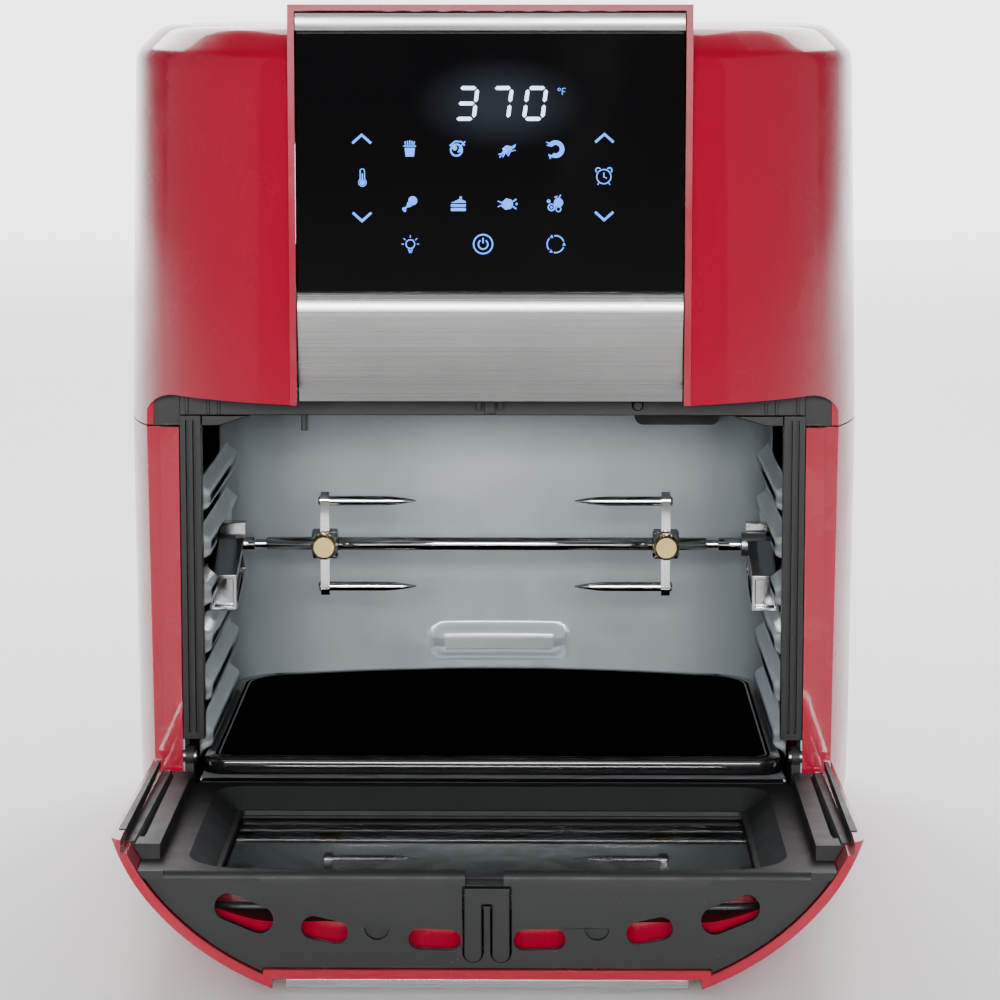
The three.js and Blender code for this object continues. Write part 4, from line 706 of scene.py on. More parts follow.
class AIRFRYER_OT_cover(bpy.types.Operator):
    """Build the red upper cover with its console cheeks and rear vents"""

    bl_idname = "airfryer.build_cover"
    bl_label = "Upper Cover"

    def execute(self, context):
        sizes = context.scene.air_fryer_sizes
        low = SEAM + GAP
        outside = join(case_form(low, CASE_TOP, 0), console_form(CHEEK_HALF, GLASS_FACE, GLASS_FACE + 150, COVER_LOW, CONSOLE_TOP))
        cut(outside, block(pair(CHEEK_HALF), (-BOW_DEPTH, GLASS_FACE), (low - 1, CONSOLE_TOP + 1)))
        inside = cut(case_form(low - 5, CASE_TOP - WALL, WALL),
                     block(pair(CHEEK_HALF), (-BOW_DEPTH, GLASS_FACE + WALL), (0, CONSOLE_TOP)))
        join(inside, console_form(CHEEK_HALF - WALL, GLASS_FACE + WALL, GLASS_FACE + 150 - WALL, COVER_LOW, CONSOLE_TOP - WALL))
        cut(outside, inside, doorway(1, REBATE_BACK),
            block(pair(CONSOLE_HALF + GAP), (-BOW_DEPTH, GLASS_FACE + 20), (COVER_LOW - 1, CONSOLE_TOP - WALL)),
            *vent_slots(9, SEAM + 60, SEAM + 110))
        finish(outside, "cover_shell", "Red Gloss", "root", ("upper_cover",), sizes.case_edge)
        return {"FINISHED"}


class AIRFRYER_OT_sides(bpy.types.Operator):
    """Build the red lower sides, the rear panel, the base and the feet"""

    bl_idname = "airfryer.build_sides"
    bl_label = "Lower Sides And Base"

    def side_panel(self, side):
        top = SEAM - GAP
        tall = (0, top + 5)
        room = join(block(pair(FLANGE_OUTER - WALL), (WALL, CASE_REAR), tall),
                    block(pair(CASE_HALF * 2), (REBATE_BACK + WALL, CASE_REAR), tall))
        shell = cut(case_form(CASE_BASE, top, 0), common(case_form(CASE_BASE - 5, top + 5, WALL), room))
        cut(shell,
            block(sided(side, FLANGE_OUTER, CASE_HALF * 2), (-BOW_DEPTH, REBATE_BACK), tall),
            block(pair(POST_OUTER + GAP), (-1, CASE_REAR / 2), (0, top + 1)),
            block(pair(REAR_HALF), (CASE_REAR / 2, CASE_REAR + 1), (0, top + 1)),
            block(pair(CASE_HALF * 2), (-1, 8.5), (0, HINGE_Z - 15)),
            rod(3.5, pair(EAR_OUTER + 4), "x", (0, HINGE_Y, HINGE_Z)))
        return common(shell, block((-CASE_HALF * 2, 0) if side < 0 else (0, CASE_HALF * 2), (0, CASE_REAR + 1), (0, top + 1)))

    def execute(self, context):
        sizes = context.scene.air_fryer_sizes
        for name, side in SIDES:
            finish(self.side_panel(side), "side_panel_" + name, "Red Gloss", "root", ("lower_side_" + name,), sizes.case_edge)
        low = CASE_BASE + 3
        rear = cut(case_form(low, SEAM - GAP, 0), case_form(low - 5, SEAM + 5, WALL))
        common(rear, block(pair(REAR_HALF - GAP), (CASE_REAR / 2, CASE_REAR + 1), (0, SEAM)))
        gland_x, gland_z = sum(span("cord_gland", "x")) / 2, sum(span("cord_gland", "z")) / 2
        cut(rear, *vent_slots(7, SEAM - 95, SEAM - 40), rod(7.3, (CASE_REAR - 30, CASE_REAR + 5), "y", (gland_x, 0, gland_z)))
        finish(rear, "rear_panel", "Black Moulding", "root", ("rear_cover",), sizes.moulded_edge)
        gland = turned([(3.6, -6), (7, -6), (7, 2), (9.5, 2), (9.5, 4.4), (8.9, 5), (8.2, 5), (6.6, 8), (5.6, 12), (3.6, 12), (3.6, -6)],
                       "y", (gland_x, CASE_REAR + 1, gland_z))
        finish(gland, "gland_sleeve", "Black Moulding", "root", ("cord_gland",), 0.0003)
        for node in ("foot_front_left", "foot_front_right", "foot_rear_left", "foot_rear_right"):
            x, y, top = sum(span(node, "x")) / 2, sum(span(node, "y")) / 2, span(node, "z")[1]
            pad = turned([(0, 0.6), (5, 0.6), (5.8, 0), (8.4, 0), (9.2, 0.7), (11, 3.2), (11, top - 0.5), (10.6, top), (0, top)], "z", (x, y, 0))
            finish(pad, node + "_pad", "Rubber", "root", (node,), 0.0002)
        carried("base_pan", "Galvanised Steel")
        return {"FINISHED"}


# ---- Console ----
REAR_HALF = CASE_HALF - REAR_CORNER - 1.5
DISPLAY_X, DISPLAY_Z = 4.2, 343.8


def scoop_profile(offset):
    """The hand scoop under the glass: a rounded lip, then a hollow that leans back."""
    height = SCOOP_TOP - SCOOP_LOW
    points = []
    for i in range(33):
        fall = i / 32
        depth = 12 * (1 - math.cos(fall * math.pi * 0.62)) / 1.37
        lip = 2.3 * max(0.0, 1 - fall / 0.24) ** 2
        points.append((GLASS_FACE + 0.05 + offset + depth + lip, SCOOP_TOP - height * fall))
    return points


class AIRFRYER_OT_console(bpy.types.Operator):
    """Build the console: touch glass, top band, brushed scoop and its screws"""

    bl_idname = "airfryer.build_console"
    bl_label = "Console"

    def execute(self, context):
        sizes = context.scene.air_fryer_sizes
        refined("control_glass", "touch_glass", "Console Glass", "root", 0.0004)
        low, high = span("console_trim", "z")
        face, back = GLASS_FACE - 0.2, span("console_trim", "y")[1]
        band = prism([(back, low), (face + 0.7, low), (face + 0.2, low + 0.3), (face, low + 0.9), (face, high - 1.6), (face + 0.5, high - 0.5), (face + 1.6, high), (back, high)],
                     "x", pair(CONSOLE_HALF), "band")
        # Painted shade: the band and the scoop take the darker copy of the stainless.
        finish(band, "console_band", "Console Stainless Painted Shade", "root", ("console_trim",), 0.0003)
        scoop = prism(scoop_profile(0) + scoop_profile(1.6)[::-1], "x", pair(CONSOLE_HALF), "scoop")
        finish(scoop, "hand_scoop", "Console Stainless Painted Shade", "root", ("console_scoop",), 0.0003, crease=50)
        for name, x in (("left", -41.5), ("right", 42.5)):
            head = turned([(0, 0.5), (0.7, 0.5), (0.9, 0.3), (1.4, 0.3), (1.7, 0.1), (1.8, -1.8), (0, -1.8)][::-1], "y", (x, -6.2, COVER_LOW + 1.4), 24)
            finish(head, "lip_screw_" + name, "Bare Steel", "root", ())
        for node in ("console_carrier", "display_module"):
            carried(node, "Black Moulding")
        carried("control_board", "Board Lacquer")
        return {"FINISHED"}


# ---- Lit symbols ----
# Each is drawn in a box from -1 to 1: ("line", points, width) or ("fill", points), circles as ("ring", x, y, r, width) or ("dot", x, y, r).
SYMBOLS = {
    "fries": [("fill", [(-0.62, 0.1), (0.62, 0.1), (0.5, -0.95), (-0.5, -0.95)]), ("line", [(-0.75, 0.3), (0.75, 0.3)], 0.14)]
    + [("line", [(x, 0.45), (x * 1.12, 0.98 - abs(x) * 0.25)], 0.15) for x in (-0.5, -0.25, 0.0, 0.25, 0.5)],
    "steak": [("ring", -0.1, -0.1, 0.62, 0.2), ("dot", -0.28, 0.12, 0.26), ("fill", [(0.0, -0.35), (0.3, 0.3), (0.45, -0.35)]),
              ("line", [(-0.85, 0.35), (-0.25, 0.85), (0.45, 0.8), (0.8, 0.4)], 0.16), ("line", [(0.2, 0.15), (0.85, 0.85)], 0.14)],
    "fish": [("fill", [(-0.55, 0.1), (-0.1, 0.45), (0.5, 0.35), (0.95, 0.62), (0.8, 0.2), (0.3, -0.05), (-0.3, -0.3)]),
             ("line", [(-0.95, -0.5), (0.9, -0.05)], 0.1), ("line", [(-0.8, -0.85), (-0.35, -0.1), (0.1, -0.6), (0.5, 0.05)], 0.13),
             ("line", [(-0.5, -0.8), (0.1, 0.15)], 0.13)],
    "shrimp": [("fill", [(0.9 * math.cos(a) * s, 0.05 + 0.9 * math.sin(a) * s) for s, r in ((1, 1), (0.48, -1)) for a in (math.radians(t) for t in (range(-120, 151, 18) if r > 0 else range(150, -121, -18)))]),
               ("line", [(-0.95, 0.75), (-0.35, 0.55)], 0.12), ("line", [(-0.9, 0.45), (-0.4, 0.35)], 0.1), ("fill", [(-0.75, -0.45), (-0.35, -0.55), (-0.55, -0.98)])],
    "drumstick": [("dot", 0.28, 0.3, 0.5), ("fill", [(-0.3, 0.15), (0.2, -0.3), (-0.45, -0.5)]), ("line", [(0.0, 0.0), (-0.68, -0.66)], 0.2),
                  ("dot", -0.72, -0.6, 0.17), ("dot", -0.6, -0.76, 0.17)],
    "cake": [("fill", [(-0.85, 0.12), (0.2, 0.62), (0.88, 0.3), (0.88, 0.12)]), ("fill", [(-0.85, -0.02), (0.88, -0.02), (0.88, -0.32), (-0.85, -0.32)]),
             ("fill", [(-0.85, -0.45), (0.88, -0.45), (0.88, -0.82), (-0.85, -0.82)]), ("dot", 0.3, 0.75, 0.15)],
    "roast": [("fill", [(-0.55, 0.2), (-0.1, 0.6), (0.45, 0.45), (0.62, 0.0), (0.4, -0.5), (-0.2, -0.6), (-0.6, -0.25)]), ("line", [(0.5, 0.2), (0.95, 0.5)], 0.16),
              ("line", [(0.5, -0.2), (0.95, -0.5)], 0.16), ("line", [(-0.98, 0.3), (-0.5, 0.1)], 0.12), ("line", [(-0.98, -0.3), (-0.5, -0.1)], 0.12), ("dot", 0.98, 0.0, 0.13)],
    "fruit": [("dot", 0.3, 0.15, 0.5), ("ring", -0.45, -0.35, 0.34, 0.16), ("dot", -0.45, -0.35, 0.14), ("ring", 0.3, -0.55, 0.26, 0.12),
              ("line", [(0.3, 0.6), (0.55, 0.98)], 0.12), ("fill", [(-0.2, 0.75), (0.2, 0.9), (0.1, 0.6)]), ("dot", -0.75, 0.3, 0.2)],
    "bulb": [("ring", 0, 0.02, 0.42, 0.11), ("line", [(-0.18, -0.42), (-0.15, -0.62), (0.15, -0.62), (0.18, -0.42)], 0.1), ("line", [(-0.14, -0.78), (0.14, -0.78)], 0.1)]
    + [("line", [(0.62 * math.cos(t), 0.02 + 0.62 * math.sin(t)), (0.86 * math.cos(t), 0.02 + 0.86 * math.sin(t))], 0.09) for t in (math.radians(d) for d in (0, 40, 90, 140, 180))],
    "power": [("ring", 0, 0, 0.92, 0.14), ("arc", 0, -0.02, 0.46, 125, 415, 0.14), ("line", [(0, 0.08), (0, 0.6)], 0.14)],
    "rotate": [("arc", 0, 0, 0.82, 18, 100, 0.12), ("arc", 0, 0, 0.82, 138, 220, 0.12), ("arc", 0, 0, 0.82, 258, 340, 0.12)]
    + [("fill", [(0.82 * math.cos(t) + 0.2 * math.cos(t + s), 0.82 * math.sin(t) + 0.2 * math.sin(t + s)) for s in (1.57, 3.66, 5.76)]) for t in (math.radians(d) for d in (118, 238, 358))],
    "thermometer": [("dot", 0, -0.62, 0.3), ("line", [(0, -0.5), (0, 0.35)], 0.16), ("arc", 0, 0.62, 0.24, 0, 180, 0.1), ("line", [(-0.24, 0.62), (-0.24, -0.35)], 0.1),
                    ("line", [(0.24, 0.62), (0.24, -0.35)], 0.1), ("arc", 0, -0.62, 0.42, -235, 55, 0.1)],
    "clock": [("ring", 0, -0.02, 0.78, 0.12), ("line", [(0, 0.42), (0, -0.05), (0.32, -0.2)], 0.12), ("arc", -0.62, 0.68, 0.26, 30, 235, 0.13),
              ("arc", 0.62, 0.68, 0.26, -55, 150, 0.13), ("line", [(-0.52, -0.65), (-0.68, -0.92)], 0.12), ("line", [(0.52, -0.65), (0.68, -0.92)], 0.12)],
    "up": [("line", [(-0.92, -0.4), (0, 0.42), (0.92, -0.4)], 0.24)],
    "down": [("line", [(-0.92, 0.4), (0, -0.42), (0.92, 0.4)], 0.24)],
}
# Symbol, its middle across and up in millimetres, and its half size.
SYMBOL_PLACES = (
    ("fries", -32.6, 325.6, 3.4), ("steak", -13.3, 325.4, 3.7), ("fish", 6.9, 325.2, 3.8), ("shrimp", 26.5, 325.2, 4.0),
    ("drumstick", -32.5, 303.4, 3.7), ("cake", -13.0, 303.2, 3.5), ("roast", 6.9, 303.2, 3.9), ("fruit", 26.6, 303.2, 3.8),
    ("bulb", -32.5, 286.8, 4.2), ("power", -2.9, 286.9, 4.2), ("rotate", 26.6, 286.9, 4.2),
    ("thermometer", -51.9, 314.2, 3.7), ("clock", 46.1, 314.4, 3.7),
    ("up", -52.1, 329.4, 4.1), ("up", 46.3, 329.8, 4.0), ("down", -52.1, 298.0, 4.1), ("down", 46.3, 298.4, 4.0),
)
SEGMENTS = {"3": "abgcd", "7": "abc", "0": "abcdef"}
DIGIT_PLACES = (("3", -9.6), ("7", 4.3), ("0", 18.2))


def stroke(bm, points, width):
    """A band of even width along a line of points, with joined corners."""
    sides = []
    for i, (x, z) in enumerate(points):
        before = Vector(points[max(i - 1, 0)])
        after = Vector(points[min(i + 1, len(points) - 1)])
        along = (after - before).normalized()
        step = (Vector(points[i]) - before).normalized() if i else along
        lean = max(0.5, abs(along.dot(step)))
        across = Vector((-along.y, along.x)) * (width / 2 / lean)
        sides.append([bm.verts.new(at(x + s * across.x, 0, z + s * across.y)) for s in (1, -1)])
    for (a, b), (c, d) in zip(sides, sides[1:]):
        bm.faces.new((a, b, d, c))


def draw_symbol(bm, parts, x, z, size):
    def placed(points):
        return [(x + px * size, z + pz * size) for px, pz in points]

    for part in parts:
        if part[0] == "line":
            stroke(bm, placed(part[1]), part[2] * size)
        elif part[0] == "fill":
            bm.faces.new([bm.verts.new(at(px, 0, pz)) for px, pz in placed(part[1])])
        elif part[0] == "arc":
            _, cx, cz, radius, start, end, width = part
            stroke(bm, placed(arc(cx, cz, radius, math.radians(start), math.radians(end), 20)), width * size)
        elif part[0] == "ring":
            stroke(bm, placed(arc(part[1], part[2], part[3], 0, 2 * math.pi, 32)), part[4] * size)
        else:
            disc = bmesh.ops.create_circle(bm, cap_ends=True, segments=24, radius=part[3] * size * MM)["verts"]
            place = Matrix.Translation(at(x + part[1] * size, 0, z + part[2] * size)) @ Matrix.Rotation(math.pi / 2, 4, "X")
            bmesh.ops.transform(bm, matrix=place, verts=disc)


def draw_digit(bm, segments, x, z, half, rise, width):
    """A seven-segment digit that leans to the right."""
    lean = 0.13
    ends = {"a": ((-half, rise), (half, rise)), "b": ((half, rise), (half, 0)), "c": ((half, 0), (half, -rise)), "d": ((-half, -rise), (half, -rise)),
            "e": ((-half, -rise), (-half, 0)), "f": ((-half, 0), (-half, rise)), "g": ((-half, 0), (half, 0))}
    for key in segments:
        (x0, z0), (x1, z1) = ends[key]
        along = Vector((x1 - x0, z1 - z0)).normalized()
        across = Vector((-along.y, along.x)) * width / 2
        trim = along * (width * 0.32)
        spots = [Vector((x0, z0)) + trim, Vector((x0, z0)) + trim * 2.6 + across, Vector((x1, z1)) - trim * 2.6 + across,
                 Vector((x1, z1)) - trim, Vector((x1, z1)) - trim * 2.6 - across, Vector((x0, z0)) + trim * 2.6 - across]
        bm.faces.new([bm.verts.new(at(x + p.x + lean * p.y, 0, z + p.y)) for p in spots])


def thin_relief(name, bm, look):
    """Gives flat symbols a hair of thickness on the glass and finishes them."""
    bmesh.ops.translate(bm, vec=(0, (GLASS_FACE - 0.06) * MM, 0), verts=bm.verts)
    drawn = bmesh.ops.extrude_face_region(bm, geom=bm.faces[:])["geom"]
    bmesh.ops.translate(bm, vec=(0, 0.05 * MM, 0), verts=[g for g in drawn if isinstance(g, bmesh.types.BMVert)])
    made = to_object(name, bm)
    return finish(made, name, look, "root", (), clean=False)


class AIRFRYER_OT_symbols(bpy.types.Operator):
    """Draw the lit touch symbols and the temperature display"""

    bl_idname = "airfryer.build_symbols"
    bl_label = "Lit Symbols"

    def execute(self, context):
        bm = bmesh.new()
        for name, x, z, size in SYMBOL_PLACES:
            draw_symbol(bm, SYMBOLS[name], x, z, size)
        thin_relief("touch_symbols", bm, "Symbol Light")
        bm = bmesh.new()
        for digit, x in DIGIT_PLACES:
            draw_digit(bm, SEGMENTS[digit], x, DISPLAY_Z, 3.7, 6.2, 1.55)
        thin_relief("display_digits", bm, "Digit Light")
        bm = bmesh.new()
        draw_symbol(bm, [("ring", -0.75, 0.5, 0.3, 0.16), ("line", [(0.0, -0.8), (0.0, 0.75), (0.75, 0.75)], 0.2), ("line", [(0.0, 0.0), (0.6, 0.0)], 0.2)], 29.2, 348.6, 1.7)
        thin_relief("display_unit", bm, "Symbol Light")
        return {"FINISHED"}


# ---- Front frame ----
class AIRFRYER_OT_front_frame(bpy.types.Operator):
    """Build the black frame round the opening: posts, top bar, corner gussets and catch"""

    bl_idname = "airfryer.build_front_frame"
    bl_label = "Front Frame"

    def post(self, side):
        low, high = span("frame_post_left", "z")
        face, back = span("frame_post_left", "y")
        body = block(sided(side, POST_INNER, POST_OUTER), (face, back), (low, high))
        width = (POST_OUTER - POST_INNER) / 3
        for i in (1, 2):
            x = POST_INNER + width * i
            body = cut(body, prism(rounded_outline(sided(side, x - 0.55, x + 0.55), (low + 3, high - 2), 0.5), "y", (face - 1, face + 2.6)))
        return body

    def gusset(self, side):
        """Fills the corner over a post, with its stiffening ribs."""
        outline = [(POST_INNER + 0.2, SEAM), (FLANGE_OUTER + 11, SEAM), (FLANGE_OUTER + 11, COVER_LOW + 1.5), (104, COVER_LOW + 1.5), (104, CEILING + 9.3), (POST_INNER + 0.2, CEILING + 9.3)]
        plate = common(prism([(x * side, z) for x, z in outline], "y", (6.2, 8.2)), case_form(SEAM - 5, CASE_TOP, WALL + 0.3))
        ribs = [block(sided(side, x, x + w), (-0.4, 6.4), (low, COVER_LOW + 1.2)) for x, w, low in ((129.6, 1.4, CEILING + 0.4), (120.5, 1.3, CEILING + 0.4), (116.0, 1.3, CEILING + 0.4))]
        web = prism([(x * side, z) for x, z in ((POST_INNER - 0.3, CEILING - 4.6), (117, CEILING - 4.6), (103, CEILING - 0.4), (POST_INNER - 0.3, CEILING - 0.4))], "y", (1.2, 7.8))
        return plate, ribs, web

    def execute(self, context):
        sizes = context.scene.air_fryer_sizes
        for name, side in SIDES:
            finish(self.post(side), "post_" + name, "Black Frame", "root", ("frame_post_" + name,), 0.0003)
            plate, ribs, web = self.gusset(side)
            finish(plate, "gusset_plate_" + name, "Black Frame", "root", (), 0.0003)
            for i, rib in enumerate(ribs):
                finish(rib, "gusset_rib_%s_%d" % (name, i + 1), "Black Frame", "root", (), 0.0003)
            finish(web, "gusset_web_" + name, "Black Frame", "root", (), 0.0004)
        refined("frame_top_bar", "top_bar", "Black Frame", "root", 0.0004)
        refined("frame_sill", "sill_bar", "Black Frame", "root", 0.0004)
        refined("latch_catch", "catch_fingers", "Black Frame", "root", 0.0004)
        carried("door_switch", "Black Moulding")
        refined("switch_plunger", "switch_pin", "Black Moulding", "plunger", 0.0004)
        return {"FINISHED"}


# ---- Cavity ----
def smooth_step(value):
    value = min(1.0, max(0.0, value))
    return value * value * (3 - 2 * value)


def liner_path():
    """The cavity's plan from the left front edge round the back to the right, in even small steps."""
    corner, bow = 42, 12
    shoulder = CAVITY_BACK - bow
    flat = CAVITY_HALF - corner
    left = [(-CAVITY_HALF, LINER_FRONT + (CORNER_START - LINER_FRONT) * i / 66) for i in range(66)]
    left += arc(-flat, shoulder - corner, corner, math.pi, math.pi / 2, 28)
    middle = [(x, CAVITY_BACK - bow * (x / flat) ** 2) for x in (flat * (i / 36 - 1) for i in range(1, 37))]
    half = left + middle
    path = half + [(-x, y) for x, y in half[-2::-1]]
    for _ in range(60):
        inner = [((a[0] + 2 * b[0] + c[0]) / 4, (a[1] + 2 * b[1] + c[1]) / 4) for a, b, c in zip(path, path[1:], path[2:])]
        path = [path[0]] + inner + [path[-1]]
    return path


def rounded_distance(x, z, half_x, half_z, radius):
    dx, dz = abs(x) - half_x + radius, abs(z) - half_z + radius
    return math.hypot(max(dx, 0), max(dz, 0)) + min(max(dx, dz), 0) - radius


class AIRFRYER_OT_cavity(bpy.types.Operator):
    """Build the coated liner with its pressed rails and hump, and dress the rest of the cavity"""

    bl_idname = "airfryer.build_cavity"
    bl_label = "Cavity"

    def pressed(self, x, y, z, sizes):
        """How far the pressed liner stands in from its plan at a point."""
        half_height = sizes.rail_height / MM / 2
        depth = 0.0
        if y < CORNER_START and abs(x) > CAVITY_HALF - 3:
            for height in RAIL_HEIGHTS:
                across = smooth_step((half_height - abs(z - height)) / 3.4)
                along = smooth_step((y - 12) / 7) * smooth_step((163 - y) / 10)
                depth = max(depth, across * along)
            held = smooth_step((y - 50) / 5) * smooth_step((122 - y) / 5) * smooth_step((z - 110) / 4) * smooth_step((153 - z) / 4)
            depth *= (1 - held) * sizes.rail_depth / MM
        elif y > CORNER_START:
            edge = rounded_distance(x - 0.3, z - 71.6, 32.5, 8.2, 5.0)
            depth = smooth_step(-edge / 4.0) * sizes.hump_depth / MM
        return depth

    def liner(self, sizes):
        path = liner_path()
        rows = 108
        bm = bmesh.new()
        bmesh.ops.create_grid(bm, x_segments=len(path) - 1, y_segments=rows, size=1)
        for vert in bm.verts:
            i = round((vert.co.x + 1) / 2 * (len(path) - 1))
            z = LINER_LOW + (LINER_HIGH - LINER_LOW) * (vert.co.y + 1) / 2
            x, y = path[i]
            before, after = path[max(i - 1, 0)], path[min(i + 1, len(path) - 1)]
            along = Vector((after[0] - before[0], after[1] - before[1])).normalized()
            depth = self.pressed(x, y, z, sizes)
            vert.co = at(x + along.y * depth, y - along.x * depth, z)
        bmesh.ops.solidify(bm, geom=bm.faces[:], thickness=0.8 * MM)
        return to_object("liner", bm)

    def execute(self, context):
        sizes = context.scene.air_fryer_sizes
        finish(self.liner(sizes), "cavity_liner", "Liner Coating", "root", ("cavity_left_wall", "cavity_right_wall", "cavity_back_wall"),
               clean=False, crease=60)
        for node in ("cavity_floor", "cavity_ceiling", "element_guard"):
            carried(node, "Liner Coating")
        refined("lamp_cover", "lamp_housing", "Black Frame", "root", 0.0006)
        refined("lamp", "lamp_glass", "Lamp Glass", "root", crease=50)
        refined("thermostat_probe", "probe_rod", "Bare Steel", "root", 0.0002, crease=50)
        return {"FINISHED"}


# ---- Drip tray ----
def tray_ring(inset, z):
    half, front, back = TRAY_HALF - inset, TRAY_FRONT + inset, TRAY_BACK - inset
    corner, bow, nose = max(26 - inset * 0.5, 4), 16, max(10 - inset * 0.3, 3)
    flat = half - corner
    rear = [(x, back - bow * (x / flat) ** 2) for x in (flat * (1 - i / 16) for i in range(1, 32))]
    plan = (arc(-half + nose, front + nose, nose, math.pi, math.pi * 1.5, 8) + arc(half - nose, front + nose, nose, math.pi * 1.5, math.pi * 2, 8)
            + arc(flat, back - bow - corner, corner, 0, math.pi / 2, 12) + rear + arc(-flat, back - bow - corner, corner, math.pi / 2, math.pi, 12))
    return [(x, y, z) for x, y in plan]


class AIRFRYER_OT_tray(bpy.types.Operator):
    """Build the enamelled drip tray with its rolled rim, ledge and basin"""

    bl_idname = "airfryer.build_tray"
    bl_label = "Drip Tray"

    def execute(self, context):
        sizes = context.scene.air_fryer_sizes
        step = sizes.tray_step / MM
        top, floor = TRAY_RIM, TRAY_BOTTOM + 1.4
        profile = [
            (0.0, top - 6.6), (0.0, top - 1.6), (0.25, top - 0.6), (1.0, top), (4.6, top), (5.6, top - 0.4), (6.3, top - 1.4),
            (6.8, top - 3.2), (7.6, top - 4.2), (8.4, top - 4.5), (8.4 + step, top - 4.7), (9.4 + step, top - 5.2), (10.2 + step, top - 6.6),
            (11.0 + step, floor + 1.0), (12.4 + step, floor + 0.2), (14.5 + step, floor),
        ]
        tray = loft([tray_ring(inset, z) for inset, z in profile], "tray", caps=False)
        bm = bmesh.new()
        bm.from_mesh(tray.data)
        low = [e for e in bm.edges if e.is_boundary and (e.verts[0].co.z < at(0, 0, floor + 0.4).z)]
        bmesh.ops.contextual_create(bm, geom=low)
        bmesh.ops.recalc_face_normals(bm, faces=bm.faces)
        bm.normal_update()
        if max(bm.faces, key=lambda f: f.calc_area()).normal.z < 0:
            bmesh.ops.reverse_faces(bm, faces=bm.faces)
        bm.to_mesh(tray.data)
        bm.free()
        wall = tray.modifiers.new("Sheet", "SOLIDIFY")
        wall.thickness = 1.1 * MM
        wall.offset = 1
        finish(tray, "tray_pan", "Black Enamel", "tray", ("drip_tray",), clean=False, crease=50)
        return {"FINISHED"}


